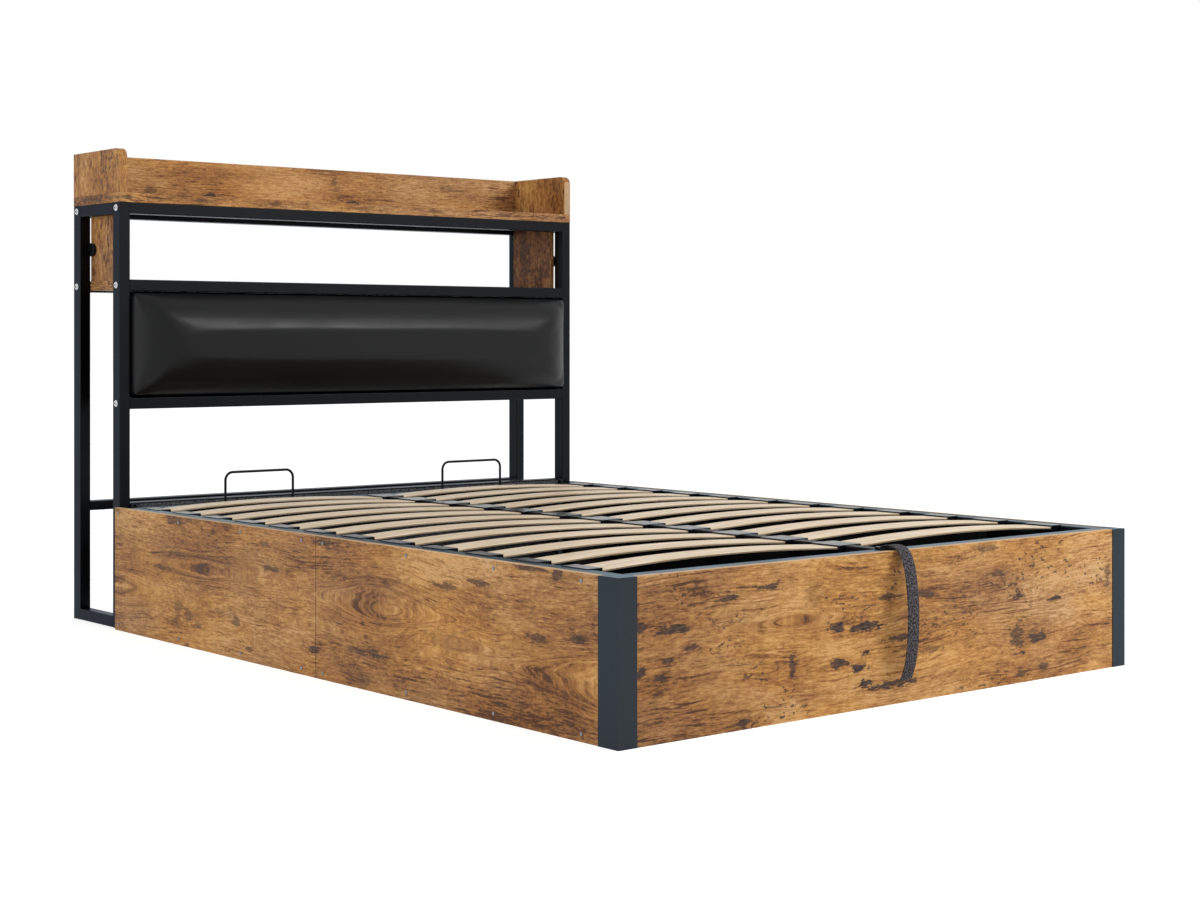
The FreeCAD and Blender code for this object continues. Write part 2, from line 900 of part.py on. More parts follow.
def build_strap():
    """The pull strap over the foot, and the clamp that holds it."""
    half = at.strap_wide / 2
    lap_y = foot + tube_out + at.strap_lap / 2
    thick = at.strap_thick
    span = at.strap_reach - thick
    crest, fall, bulge = [
        (foot - span * reach, at.box_height * rise) for reach, rise in STRAP_BULGE_SHARES
    ]
    tip = (foot - span * STRAP_END_SHARE, at.strap_end)
    bed = (lap_y + at.strap_lap / 2, tube_top)
    lift = (foot + tube_out, tube_top)
    outline = [
        bed,
        lift,
        Via(crest[0], crest[1] - thick),
        (fall[0] + thick / 2, fall[1] - thick / 2),
        Via(bulge[0], bulge[1]),
        tip,
        (tip[0] - thick, tip[1]),
        Via(bulge[0] - thick, bulge[1]),
        (fall[0] - thick / 2, fall[1]),
        Via(crest[0], crest[1]),
        (lift[0], lift[1] + thick),
        (bed[0], bed[1] + thick),
    ]
    keep("pull_strap", padded("YZ", -half, half, outline))
    edge = at.anchor_wide / 2
    near = lap_y - at.anchor_long / 2
    top = tube_top + thick
    clamp = block((-edge, near, tube_top), (edge, near + at.anchor_long, top + at.anchor_thick))
    slot = block(
        (-half, near - at.overrun, tube_top),
        (half, near + at.anchor_long + at.overrun, top),
    )
    keep("strap_anchor", cut(clamp, slot))


def ear_outline(root, low, high, outward):
    """The side view of a hinge ear from its root to its round end at the pivot."""
    radius = at.hinge_round
    return [
        (root, low),
        (root, high),
        (hinge_y, hinge_z + radius),
        Via(hinge_y + radius * outward, hinge_z),
        (hinge_y, hinge_z - radius),
    ]


def build_hinges():
    """The hinge lugs on the head crossbar, the platform's ears and the bolts."""
    hole = Ring(hinge_y, hinge_z, at.journal / 2 + at.journal_play)
    ear_out = left + tube_in
    ear_in = ear_out + at.ear_thick
    lug_out = ear_in + at.ear_gap
    lug_in = lug_out + at.ear_thick
    low = crossbar_low + at.lug_rise
    high = crossbar_low + at.bar_tall - at.lug_drop
    lug = padded("YZ", lug_out, lug_in, ear_outline(head_front, low, high, -1), hole)
    flange = block(
        (lug_in - at.lug_flange_wide, head_front - at.lug_flange, low),
        (lug_in, head_front, high),
    )
    lug = fused(lug, flange)
    keep("hinge_lugs", together(lug, mirrored(lug)))
    outline = ear_outline(frame_back, tube_low + at.lug_rise, tube_top - at.lug_drop, 1)
    ear = padded("YZ", ear_out, ear_in, outline, hole)
    keep("hinge_ears", together(ear, mirrored(ear)))
    nut_in = ear_out - at.seat_gap
    head_out = lug_in + at.seat_gap
    bolt = fused(
        pin((nut_in - at.hinge_nut_tall, hinge_y, hinge_z), at.hinge_nut_tall, at.hinge_head),
        pin((nut_in, hinge_y, hinge_z), head_out - nut_in, at.journal),
        pin((head_out, hinge_y, hinge_z), at.hinge_head_tall, at.hinge_head),
    )
    keep("hinge_bolts", together(bolt, mirrored(bolt)))


def stud(root, pivot):
    """A stud with a collar and a clip that carries one eye of a gas spring."""
    y, z = pivot
    half = at.spring_eye_thick / 2
    middle = left + at.spring_in
    collar_end = middle - half - at.seat_gap
    clip_start = middle + half + at.seat_gap
    return fused(
        pin((root, y, z), collar_end - root, at.spring_collar),
        pin((collar_end, y, z), clip_start - collar_end, at.spring_stud),
        pin((clip_start, y, z), at.clip_thick, at.spring_collar),
    )


def build_brackets():
    """The gas springs' brackets on the uprights and on the side tubes."""
    y, z = low_pivot
    half_wide = at.upright_wide / 2
    half_tall = at.low_bracket_tall / 2
    face = left + upright_in
    root = face + at.bracket_thick
    plate = block((face, y - half_wide, z - half_tall), (root, y + half_wide, z + half_tall))
    bracket = fused(plate, stud(root, low_pivot))
    keep("spring_lower_brackets", together(bracket, mirrored(bracket)))
    y, z = high_pivot
    half_wide = at.high_bracket_wide / 2
    face = left + tube_in
    root = face + at.bracket_thick
    plate = block(
        (face, y - half_wide, z - at.high_bracket_drop),
        (root, y + half_wide, holder_low - at.high_bracket_gap),
    )
    bracket = fused(plate, stud(root, high_pivot))
    keep("spring_upper_brackets", together(bracket, mirrored(bracket)))


def lean_body(pivot):
    """A body whose own vertical axis lies along the gas spring, from a pivot."""
    body = new_body()
    turn = FreeCAD.Rotation(FreeCAD.Vector(1, 0, 0), 45)
    body.Placement = FreeCAD.Placement(FreeCAD.Vector(), turn)
    lean = (at.low_pivot_angle + at.high_pivot_angle) / 2
    for place, size in zip("xyz", (left + at.spring_in, *pivot)):
        bind(body, f"Placement.Base.{place}", size)
    bind(body, "Placement.Rotation.Angle", lean)
    return body


def add_eye(body):
    """The ring at the end of a gas spring that turns on a stud."""
    half = at.spring_eye_thick / 2
    hole = Ring(as_size(0), as_size(0), at.spring_stud / 2 + at.journal_play)
    rim = Ring(as_size(0), as_size(0), at.spring_eye / 2)
    return add_pad(body, "YZ", -half, half, rim, hole)


def build_springs():
    """The gas springs: a cylinder on the box and a rod on the platform."""
    apex = (at.low_pivot_angle - at.high_pivot_angle) / 2
    closed_length = spring_arm * 2 * apex.sine()
    eye_in = (at.spring_eye + at.spring_stud) / 4
    rod = at.spring_rod / 2
    outer = at.spring_tube / 2
    bore = at.spring_bore / 2
    guide = rod + at.spring_play
    top = closed_length - at.spring_eye / 2 - at.spring_head_gap
    floor = at.spring_neck + at.spring_floor
    zero = as_size(0)
    cylinder = lean_body(low_pivot)
    add_eye(cylinder)
    add_turned(cylinder, [
        (zero, eye_in),
        (rod, eye_in),
        (rod, at.spring_neck),
        (outer, at.spring_neck),
        (outer, top),
        (guide, top),
        (guide, top - at.spring_guide),
        (bore, top - at.spring_guide),
        (bore, floor),
        (zero, floor),
    ])
    keep_pair("cylinder", cylinder)
    piston = bore - at.spring_play
    tip = floor + at.spring_play - closed_length
    slider = lean_body(high_pivot)
    add_eye(slider)
    add_turned(slider, [
        (zero, -eye_in),
        (rod, -eye_in),
        (rod, tip + at.spring_piston),
        (piston, tip + at.spring_piston),
        (piston, tip),
        (zero, tip),
    ])
    keep_pair("rod", slider)


build_rails(build_boards())
build_corner_posts()
build_uprights()
build_cloths()
build_frame()
build_shelves()
build_cushion()
build_lifting_frame()
build_slats()
build_holders()
build_stops()
build_strap()
build_hinges()
build_brackets()
build_springs()
doc.recompute()

# Nothing is written unless every object came out whole
for piece in doc.Objects:
    if "Invalid" in piece.State or "Error" in piece.State:
        raise RuntimeError(f"{piece.Label} failed: {piece.State}")
for piece in nodes:
    if piece.Shape.isNull() or not piece.Shape.isValid():
        raise RuntimeError(f"{piece.Label} has no valid shape")

os.makedirs("parts", exist_ok=True)
for piece in nodes:
    piece.Shape.exportStep(os.path.join("parts", f"{piece.Label}.step"))
    box = piece.Shape.BoundBox
    print(
        f"{piece.Label}: {len(piece.Shape.Solids)} solids, {piece.Shape.Volume / 1000:.1f} cm3, "
        f"x {box.XMin:.1f} {box.XMax:.1f}, y {box.YMin:.1f} {box.YMax:.1f}, "
        f"z {box.ZMin:.1f} {box.ZMax:.1f}"
    )
print(f"{len(nodes)} sub-parts written")
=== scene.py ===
import json
import math

import bpy
import numpy as np
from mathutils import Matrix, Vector


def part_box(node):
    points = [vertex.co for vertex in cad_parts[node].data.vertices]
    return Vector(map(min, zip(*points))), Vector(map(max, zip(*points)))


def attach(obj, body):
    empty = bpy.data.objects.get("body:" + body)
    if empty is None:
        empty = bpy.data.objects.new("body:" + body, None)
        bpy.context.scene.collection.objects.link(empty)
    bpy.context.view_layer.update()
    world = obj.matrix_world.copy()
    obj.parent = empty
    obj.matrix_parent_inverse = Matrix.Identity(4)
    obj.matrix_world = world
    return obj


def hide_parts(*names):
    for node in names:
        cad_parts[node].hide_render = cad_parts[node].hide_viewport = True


# A storage bed in rustic board and dark steel, with bent slats, a padded
# headboard panel and a pull strap. Metres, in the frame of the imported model.

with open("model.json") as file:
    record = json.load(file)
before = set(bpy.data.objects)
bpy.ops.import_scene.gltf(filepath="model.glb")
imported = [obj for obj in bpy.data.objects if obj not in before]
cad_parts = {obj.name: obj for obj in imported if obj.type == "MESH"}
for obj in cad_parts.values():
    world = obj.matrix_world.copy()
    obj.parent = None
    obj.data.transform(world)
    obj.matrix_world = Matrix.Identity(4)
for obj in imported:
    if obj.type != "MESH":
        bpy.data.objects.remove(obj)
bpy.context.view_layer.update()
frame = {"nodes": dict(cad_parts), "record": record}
nodes = frame["nodes"]

QUARTER = math.pi / 2
FLOAT = "NodeSocketFloat"
COLOUR = "NodeSocketColor"
VECTOR = "NodeSocketVector"


def srgb(red, green, blue):
    """A colour read as 0 to 255 on screen, as linear light with full alpha."""
    shares = np.array([red, green, blue]) / 255
    linear = np.where(shares <= 0.04045, shares / 12.92, ((shares + 0.055) / 1.055) ** 2.4)
    return (*linear.tolist(), 1.0)


# Node helpers

def plug(tree, socket, value):
    """Link a socket to another one, or set its value."""
    if isinstance(value, bpy.types.NodeSocket):
        tree.links.new(value, socket)
    else:
        socket.default_value = value


def add(tree, kind, inputs=None, **settings):
    """Add a node, set its options, then set or link its inputs by name or place."""
    made = tree.nodes.new(kind)
    for name, value in settings.items():
        setattr(made, name, value)
    for name, value in (inputs or {}).items():
        plug(tree, made.inputs[name], value)
    return made


def maths(tree, operation, first, second=0.0, clamp=False):
    """One Math node; returns its value."""
    made = add(tree, "ShaderNodeMath", {0: first, 1: second}, operation=operation)
    made.use_clamp = clamp
    return made.outputs[0]


def vectors(tree, operation, first, second):
    """One Vector Math node; returns its vector."""
    return add(tree, "ShaderNodeVectorMath", {0: first, 1: second}, operation=operation).outputs[0]


def noise(tree, place, scale, detail=3.0, roughness=0.5):
    """Noise from 0 to 1, with its own count per metre along each axis."""
    spread = vectors(tree, "MULTIPLY", place, scale)
    made = add(tree, "ShaderNodeTexNoise",
               {"Vector": spread, "Scale": 1.0, "Detail": detail, "Roughness": roughness})
    return made.outputs["Fac"]


def ramp(tree, value, *stops):
    """Colours or values blended along a range; each stop is (place, colour)."""
    made = add(tree, "ShaderNodeValToRGB", {"Fac": value})
    band = made.color_ramp
    while len(band.elements) < len(stops):
        band.elements.new(0.5)
    for element, (place, colour) in zip(band.elements, stops):
        element.position = place
        element.color = colour if isinstance(colour, tuple) else (colour, colour, colour, 1)
    return made.outputs["Color"]


def blend(tree, share, first, second, mode="MIX"):
    """Mix two colours by a share."""
    made = add(tree, "ShaderNodeMix", data_type="RGBA", blend_type=mode)
    for socket, value in zip((made.inputs[0], made.inputs[6], made.inputs[7]), (share, first, second)):
        plug(tree, socket, value)
    return made.outputs[2]


def fade(tree, value, start, end):
    """A smooth step from 0 at start to 1 at end, or down if end lies before start."""
    low, high = min(start, end), max(start, end)
    made = add(tree, "ShaderNodeMapRange", {"Value": value, "From Min": low, "From Max": high},
               interpolation_type="SMOOTHSTEP")
    made.inputs["To Min"].default_value = 0.0 if end > start else 1.0
    made.inputs["To Max"].default_value = 1.0 if end > start else 0.0
    return made.outputs["Result"]


def new_group(name, inputs, outputs):
    """An empty shader group with named sockets; inputs map a name to (type, value)."""
    group = bpy.data.node_groups.new(name, "ShaderNodeTree")
    for label, (kind, value) in inputs.items():
        socket = group.interface.new_socket(label, in_out="INPUT", socket_type=kind)
        if value is not None:
            socket.default_value = value
    for label, kind in outputs.items():
        group.interface.new_socket(label, in_out="OUTPUT", socket_type=kind)
    return group, group.nodes.new("NodeGroupInput").outputs, group.nodes.new("NodeGroupOutput").inputs


def place_group(tree, group, **values):
    """Put a group into a tree with its own values; returns its outputs."""
    made = add(tree, "ShaderNodeGroup", node_tree=group)
    for name, value in values.items():
        plug(tree, made.inputs[name], value)
    return made.outputs


# Rustic board. Its grain runs along the first axis of Place, and the third
# axis runs across the grain on the board's face.

# What is added to |Q| under the root in a ring figure, in square metres
RING_SOFTNESS = 0.00004


def make_knot_group():
    """One knot: an ellipse along the grain with a ragged rim, dark inside, and a brown halo.

    It keeps the darker of its own mask and the masks that come in.
    """
    group, entry, leave = new_group(
        "knot",
        {"Place": (VECTOR, None), "Spot": (VECTOR, None), "Reach": (VECTOR, None), "Depth": (FLOAT, 1.0),
         "Ragged": (FLOAT, 0.0), "Mask": (FLOAT, 0.0), "Halo": (FLOAT, 0.0)},
        {"Mask": FLOAT, "Halo": FLOAT},
    )
    away = vectors(group, "DIVIDE", vectors(group, "SUBTRACT", entry["Place"], entry["Spot"]), entry["Reach"])
    distance = add(group, "ShaderNodeVectorMath", {0: away}, operation="LENGTH").outputs["Value"]
    edge = maths(group, "ADD", distance, entry["Ragged"])
    mask = maths(group, "MULTIPLY", fade(group, edge, 1.05, 0.85), entry["Depth"])
    halo = maths(group, "MULTIPLY", fade(group, edge, 2.6, 0.7), entry["Depth"])
    group.links.new(maths(group, "MAXIMUM", mask, entry["Mask"]), leave["Mask"])
    group.links.new(maths(group, "MAXIMUM", halo, entry["Halo"]), leave["Halo"])
    return group


def make_figure_group():
    """Grain that parts round one oval figure and closes into rings inside it.

    With w the distance across the grain from the figure's middle, u the
    distance along it as a share of the figure's half length and c its half
    height, Q = w^2 - c^2 exp(-u^2). Lines of equal Q pass the figure on
    both sides where Q > 0, and are closed rings where Q < 0. The group adds
    what Q / sqrt(|Q| + s^2), with the sign of w outside, differs from w.
    """
    group, entry, leave = new_group(
        "ring figure",
        {"Place": (VECTOR, None), "Spot": (VECTOR, None), "Reach": (VECTOR, None),
         "Across": (FLOAT, 0.0), "Near": (FLOAT, 0.0)},
        {"Across": FLOAT, "Near": FLOAT},
    )
    apart = vectors(group, "SUBTRACT", entry["Place"], entry["Spot"])
    away = add(group, "ShaderNodeSeparateXYZ", {0: apart}).outputs
    reach = add(group, "ShaderNodeSeparateXYZ", {0: entry["Reach"]}).outputs
    u = maths(group, "DIVIDE", away["X"], reach["X"])
    swell = maths(group, "EXPONENT", maths(group, "MULTIPLY", maths(group, "MULTIPLY", u, u), -1.0))
    w = away["Z"]
    square = maths(group, "MULTIPLY", w, w)
    well = maths(group, "MULTIPLY", maths(group, "MULTIPLY", reach["Z"], reach["Z"]), swell)
    q = maths(group, "SUBTRACT", square, well)
    size = maths(group, "SQRT", maths(group, "ADD", maths(group, "ABSOLUTE", q), RING_SOFTNESS))
    inside = maths(group, "LESS_THAN", q, 0.0)
    side = maths(group, "SIGN", w)
    side = maths(group, "ADD", side, maths(group, "MULTIPLY", inside, maths(group, "SUBTRACT", 1.0, side)))
    bent = maths(group, "MULTIPLY", maths(group, "DIVIDE", q, size), side)
    group.links.new(maths(group, "ADD", entry["Across"], maths(group, "SUBTRACT", bent, w)), leave["Across"])
    v = maths(group, "DIVIDE", w, maths(group, "MULTIPLY", reach["Z"], 1.5))
    fall = maths(group, "EXPONENT", maths(group, "MULTIPLY", maths(group, "MULTIPLY", v, v), -1.0))
    near = maths(group, "MULTIPLY", swell, fall)
    group.links.new(maths(group, "MAXIMUM", near, entry["Near"]), leave["Near"])
    return group


def make_board_group():
    """Rustic board around its knots and ring figures.

    A tone is the sum of worn patches, mottle, streaks, fine lines and grit
    along the grain, rings near the figures and faint cross marks of the
    saw. A palette turns it into wood, whose hue drifts between gold and
    brown. Knots, flecks and cracks go on top.
    """
    tree, entry, leave = new_group(
        "rustic board",
        {"Place": (VECTOR, None), "Seed": (VECTOR, None), "Mask": (FLOAT, 0.0), "Halo": (FLOAT, 0.0),
         "Across": (FLOAT, 0.0), "Near": (FLOAT, 0.0), "Knots": (FLOAT, 0.4), "Tone": (FLOAT, 0.0),
         "Lining": (FLOAT, 0.0), "Top": (FLOAT, 0.0), "Flecks": (FLOAT, 0.8)},
        {"Colour": COLOUR, "Roughness": FLOAT, "Height": FLOAT},
    )
    place = vectors(tree, "ADD", entry["Place"], entry["Seed"])
    parts = add(tree, "ShaderNodeSeparateXYZ", {0: place}).outputs
    drift = maths(tree, "SUBTRACT", noise(tree, place, (2.0, 2, 5), 3), 0.5)
    sway = maths(tree, "ADD", entry["Across"], maths(tree, "MULTIPLY", drift, 0.07))
    grain = add(tree, "ShaderNodeCombineXYZ", {"X": parts["X"], "Y": parts["Y"], "Z": sway}).outputs[0]
    patches = noise(tree, place, (2.2, 3, 6), 5, 0.6)
    mottle = noise(tree, place, (22, 30, 60), 4, 0.9)
    streaks = noise(tree, grain, (2.6, 20, 34), 5, 0.7)
    lines = noise(tree, grain, (26, 90, 230), 2, 0.8)
    grit = noise(tree, grain, (75, 90, 250), 1, 0.8)
    rings = noise(tree, grain, (2.5, 3, 105), 1, 0.4)
    hairs = fade(tree, noise(tree, grain, (8, 40, 210), 1, 0.5), 0.44, 0.36)
    worn = fade(tree, noise(tree, place, (5, 7, 11), 3, 0.6), 0.42, 0.6)
    saw = noise(tree, place, (300, 60, 15), 2, 0.5)

    def share(value, weight):
        """What a value adds to the tone: its distance from a half times its weight."""
        return maths(tree, "MULTIPLY", maths(tree, "SUBTRACT", value, 0.5), weight)

    tone = maths(tree, "ADD", share(patches, 1.8), 0.5)
    ringed = maths(tree, "MULTIPLY", share(rings, 2.0), entry["Near"])
    plain = maths(tree, "SUBTRACT", 1.0, maths(tree, "MULTIPLY", entry["Near"], 0.75))
    straight = maths(tree, "MULTIPLY", share(lines, 1.15), plain)
    hair = maths(tree, "MULTIPLY", maths(tree, "MULTIPLY", hairs, worn), -0.36)
    for part in (share(mottle, 0.5), share(streaks, 0.55), straight, share(grit, 0.75), share(saw, 0.12),
                 ringed, hair, entry["Tone"]):
        tone = maths(tree, "ADD", tone, part)
    tone = maths(tree, "SUBTRACT", tone, maths(tree, "MULTIPLY", entry["Halo"], 0.13))
    colour = ramp(tree, tone,
                  (0.08, srgb(84, 52, 32)), (0.2, srgb(116, 74, 42)), (0.32, srgb(143, 96, 54)),
                  (0.45, srgb(160, 110, 63)), (0.57, srgb(174, 124, 71)), (0.68, srgb(186, 136, 80)),
                  (0.8, srgb(198, 149, 92)), (0.93, srgb(212, 165, 110)))
    gold = noise(tree, place, (1.5, 2, 4), 3, 0.6)
    hue = ramp(tree, gold, (0.4, (0.96, 1.02, 1.2, 1)), (0.6, (1.04, 1.0, 0.84, 1)))
    colour = blend(tree, 1.0, colour, hue, "MULTIPLY")
    ragged = share(noise(tree, place, (26, 26, 70), 3, 0.65), 0.9)
    spread = add(tree, "ShaderNodeCombineXYZ", {"X": ragged, "Z": ragged}).outputs[0]
    cells = add(tree, "ShaderNodeTexVoronoi",
                {"Vector": vectors(tree, "ADD", vectors(tree, "MULTIPLY", place, (4.2, 6, 11)), spread),
                 "Scale": 1.0, "Randomness": 1.0})
    chosen = add(tree, "ShaderNodeSeparateColor", {"Color": cells.outputs["Color"]}).outputs[0]
    width = maths(tree, "MULTIPLY", maths(tree, "SUBTRACT", entry["Knots"], chosen), 0.5)
    knot = maths(tree, "MULTIPLY", maths(tree, "SUBTRACT", width, cells.outputs["Distance"]), 16, clamp=True)
    dark = maths(tree, "MAXIMUM", maths(tree, "MULTIPLY", knot, 0.75), entry["Mask"])
    dark = maths(tree, "MULTIPLY", dark, fade(tree, lines, 0.85, 0.6))
    zone = maths(tree, "MAXIMUM", fade(tree, noise(tree, place, (4, 6, 9), 2), 0.5, 0.6), entry["Halo"])
    fleck = maths(tree, "MULTIPLY", fade(tree, noise(tree, place, (70, 70, 110), 1, 0.6), 0.385, 0.34), zone)
    crack = maths(tree, "MULTIPLY", fade(tree, noise(tree, grain, (6, 40, 230), 2, 0.5), 0.33, 0.27), zone)
    small = maths(tree, "MULTIPLY", maths(tree, "MAXIMUM", fleck, crack), entry["Flecks"])
    dark = maths(tree, "MAXIMUM", dark, small)
    core = noise(tree, place, (60, 60, 200), 3, 0.7)
    colour = blend(tree, dark, colour, ramp(tree, core, (0.4, srgb(42, 33, 32)), (0.64, srgb(92, 68, 54))))
    # Painted highlight: lit edges are lightened towards a pale wood colour, where the light catches them
    colour = blend(tree, maths(tree, "MULTIPLY", entry["Top"], 0.6), colour, srgb(206, 176, 140))
    # Painted shade: unseen inner faces go near black, where shade falls inside the box; the same colour draws
    # the dark seam lines between boards
    colour = blend(tree, entry["Lining"], colour, srgb(15, 14, 14))
    tree.links.new(colour, leave["Colour"])
    tree.links.new(maths(tree, "ADD", maths(tree, "MULTIPLY", lines, 0.2), 0.42), leave["Roughness"])
    height = maths(tree, "SUBTRACT", maths(tree, "ADD", lines, maths(tree, "MULTIPLY", streaks, 0.5)),
                   maths(tree, "MULTIPLY", dark, 0.8))
    tree.links.new(height, leave["Height"])
    return tree


def make_speckle_group():
    """Fine even specks and a slow unevenness, for moulded, coated and woven finishes."""
    group, entry, leave = new_group(
        "speckle",
        {"Place": (VECTOR, None), "Specks": (FLOAT, 900.0)},
        {"Speck": FLOAT, "Cloud": FLOAT},
    )
    specks = add(group, "ShaderNodeTexNoise",
                 {"Vector": entry["Place"], "Scale": entry["Specks"], "Detail": 2.0})
    group.links.new(specks.outputs["Fac"], leave["Speck"])
    group.links.new(noise(group, entry["Place"], (6, 6, 6), 3), leave["Cloud"])
    return group


knot_group = make_knot_group()
figure_group = make_figure_group()
board_group = make_board_group()
speckle_group = make_speckle_group()


def new_material(name):
    """A material with a Principled surface; returns it, its tree, the shader and the place."""
    material = bpy.data.materials.new(name)
    material.use_nodes = True
    tree = material.node_tree
    place = tree.nodes.new("ShaderNodeTexCoord").outputs["Object"]
    return material, tree, tree.nodes["Principled BSDF"], place


def raise_height(tree, shader, height, strength, distance):
    """Raise the surface by a height through a Bump node."""
    bump = add(tree, "ShaderNodeBump", {"Height": height, "Strength": strength, "Distance": distance})
    tree.links.new(bump.outputs[0], shader.inputs["Normal"])


def past(tree, place, direction, limit):
    """1 where the place along a direction lies past a limit, else 0."""
    reached = add(tree, "ShaderNodeVectorMath", {0: place, 1: direction}, operation="DOT_PRODUCT")
    return maths(tree, "GREATER_THAN", reached.outputs["Value"], limit)


# The dark line of a seam: half its width in metres, and its share of the near-black colour of the painted
# shade
SEAM_HALF, SEAM_DEPTH = 0.0012, 0.75
# How ragged a knot's rim is, and how much darker a knot is than its written depth
KNOT_RAGGED, KNOT_GAIN = 4.0, 1.2


def board(name, turn=(0, 0, 0), seed=(0, 0, 0), spots=(), figures=(), knots=0.4, tone=0.0, inner=None,
          lit_edge=None, seam=None, painted_light_lean=0.0, flecks=0.8):
    """Rustic board whose grain runs along X before the turn.

    Spots are (along, across, half length, half height, depth) and figures
    (along, across, half length, half height), in millimetres. Inner is a
    direction and a limit: past it the board's unseen inner face is painted
    near black, as painted shade inside the box. The lit edge is a direction
    and a limit too: past it the edge is lightened as a painted highlight.
    Seam is the place along the bed where two boards meet in a dark line,
    lean is what the tone gains per metre along the grain, a painted
    lightening towards the end where the light falls, and flecks is how
    dark the small flecks and cracks are.
    """
    material, tree, shader, place = new_material(name)
    turned = add(tree, "ShaderNodeMapping", {"Vector": place, "Rotation": turn}).outputs[0]
    flat = vectors(tree, "MULTIPLY", turned, (1, 0, 1))
    ragged = noise(tree, turned, (34, 34, 100), 4, 0.7)
    ragged = maths(tree, "MULTIPLY", maths(tree, "SUBTRACT", ragged, 0.5), KNOT_RAGGED)
    mask, halo, near = 0.0, 0.0, 0.0
    across = add(tree, "ShaderNodeSeparateXYZ", {0: turned}).outputs["Z"]
    for along, height, long, tall, depth in spots:
        out = place_group(tree, knot_group, Place=flat, Spot=(along / 1000, 0, height / 1000),
                          Reach=(long / 1000, 1, tall / 1000), Depth=min(1.0, KNOT_GAIN * depth),
                          Ragged=ragged, Mask=mask, Halo=halo)
        mask, halo = out["Mask"], out["Halo"]
    for along, height, long, tall in figures:
        out = place_group(tree, figure_group, Place=flat, Spot=(along / 1000, 0, height / 1000),
                          Reach=(long / 1000, 1, tall / 1000), Across=across, Near=near)
        across, near = out["Across"], out["Near"]
    # The first mask is the painted shade on the inner face, and pale is the painted highlight on the lit edge
    shade_and_seam, pale = (past(tree, place, *limit) if limit else 0.0 for limit in (inner, lit_edge))
    if seam is not None:
        lengthways = add(tree, "ShaderNodeSeparateXYZ", {0: place}).outputs["Y"]
        gap = maths(tree, "ABSOLUTE", maths(tree, "SUBTRACT", lengthways, seam))
        line = maths(tree, "MULTIPLY", maths(tree, "LESS_THAN", gap, SEAM_HALF), SEAM_DEPTH)
        shade_and_seam = maths(tree, "MAXIMUM", shade_and_seam, line)
    # Painted light: the tone rises along the grain, so the board is lighter towards the end where the light
    # falls
    along = add(tree, "ShaderNodeSeparateXYZ", {0: turned}).outputs["X"]
    tone = maths(tree, "ADD", maths(tree, "MULTIPLY", along, painted_light_lean), tone)
    look = place_group(tree, board_group, Place=turned, Seed=seed, Mask=mask, Halo=halo, Across=across,
                       Near=near, Knots=knots, Tone=tone, Lining=shade_and_seam, Top=pale, Flecks=flecks)
    tree.links.new(look["Colour"], shader.inputs["Base Color"])
    tree.links.new(look["Roughness"], shader.inputs["Roughness"])
    shader.inputs["Specular IOR Level"].default_value = 0.2
    raise_height(tree, shader, look["Height"], 0.3, 0.0006)
    return material


def speckled(name, dark, light, roughness, specks=900.0, bump=0.1, level=0.3, metallic=0.0,
             tint=(1, 1, 1, 1)):
    """An even finish with specks between two colours and a slow change in gloss."""
    material, tree, shader, place = new_material(name)
    look = place_group(tree, speckle_group, Place=place, Specks=specks)
    tree.links.new(ramp(tree, look["Speck"], (0.35, dark), (0.65, light)), shader.inputs["Base Color"])
    gloss = ramp(tree, look["Cloud"], (0.3, roughness - 0.04), (0.7, roughness + 0.05))
    tree.links.new(gloss, shader.inputs["Roughness"])
    shader.inputs["Specular IOR Level"].default_value = level
    shader.inputs["Metallic"].default_value = metallic
    shader.inputs["Specular Tint"].default_value = tint
    raise_height(tree, shader, look["Speck"], bump, 0.0002)
    return material


def grained(name, pale, brown):
    """Smooth pale wood with fine lines along X."""
    material, tree, shader, place = new_material(name)
    lines = noise(tree, place, (5, 160, 160), 3, 0.6)
    tree.links.new(ramp(tree, lines, (0.35, brown), (0.62, pale)), shader.inputs["Base Color"])
    shader.inputs["Roughness"].default_value = 0.45
    shader.inputs["Specular IOR Level"].default_value = 0.25
    raise_height(tree, shader, lines, 0.15, 0.0002)
    return material


# Rows of yarn across the tape and bars of yarn along it
ROWS_PER_METRE, BARS_PER_METRE = 420.0, 520.0


def make_weave_group():
    """Woven tape: bars of yarn whose slant turns in every second row, flecked light and dark."""
    group, entry, leave = new_group(
        "weave", {"Place": (VECTOR, None)}, {"Colour": COLOUR, "Height": FLOAT})
    parts = add(group, "ShaderNodeSeparateXYZ", {0: entry["Place"]}).outputs
    row = maths(group, "MULTIPLY", parts["Y"], ROWS_PER_METRE)
    pair = maths(group, "FRACT", maths(group, "MULTIPLY", row, 0.5))
    slant = maths(group, "ABSOLUTE", maths(group, "SUBTRACT", pair, 0.5))
    run = maths(group, "MULTIPLY", parts["X"], BARS_PER_METRE)
    run = maths(group, "ADD", run, maths(group, "MULTIPLY", slant, 2.0))
    yarn = maths(group, "SINE", maths(group, "MULTIPLY", run, 2 * math.pi))
    rib = maths(group, "SINE", maths(group, "MULTIPLY", row, math.pi))
    height = maths(group, "ADD", maths(group, "MULTIPLY", yarn, 0.5), maths(group, "MULTIPLY", rib, rib))
    fleck = noise(group, entry["Place"], (210, 330, 1), 4, 0.85)
    colour = ramp(group, fleck,
                  (0.38, srgb(18, 17, 19)), (0.49, srgb(52, 49, 52)), (0.6, srgb(130, 124, 128)))
    raised = maths(group, "MULTIPLY", maths(group, "ADD", height, 0.5), 0.5)
    shade = ramp(group, raised, (0.0, 0.6), (0.8, 1.1))
    group.links.new(blend(group, 1.0, colour, shade, "MULTIPLY"), leave["Colour"])
    group.links.new(height, leave["Height"])
    return group


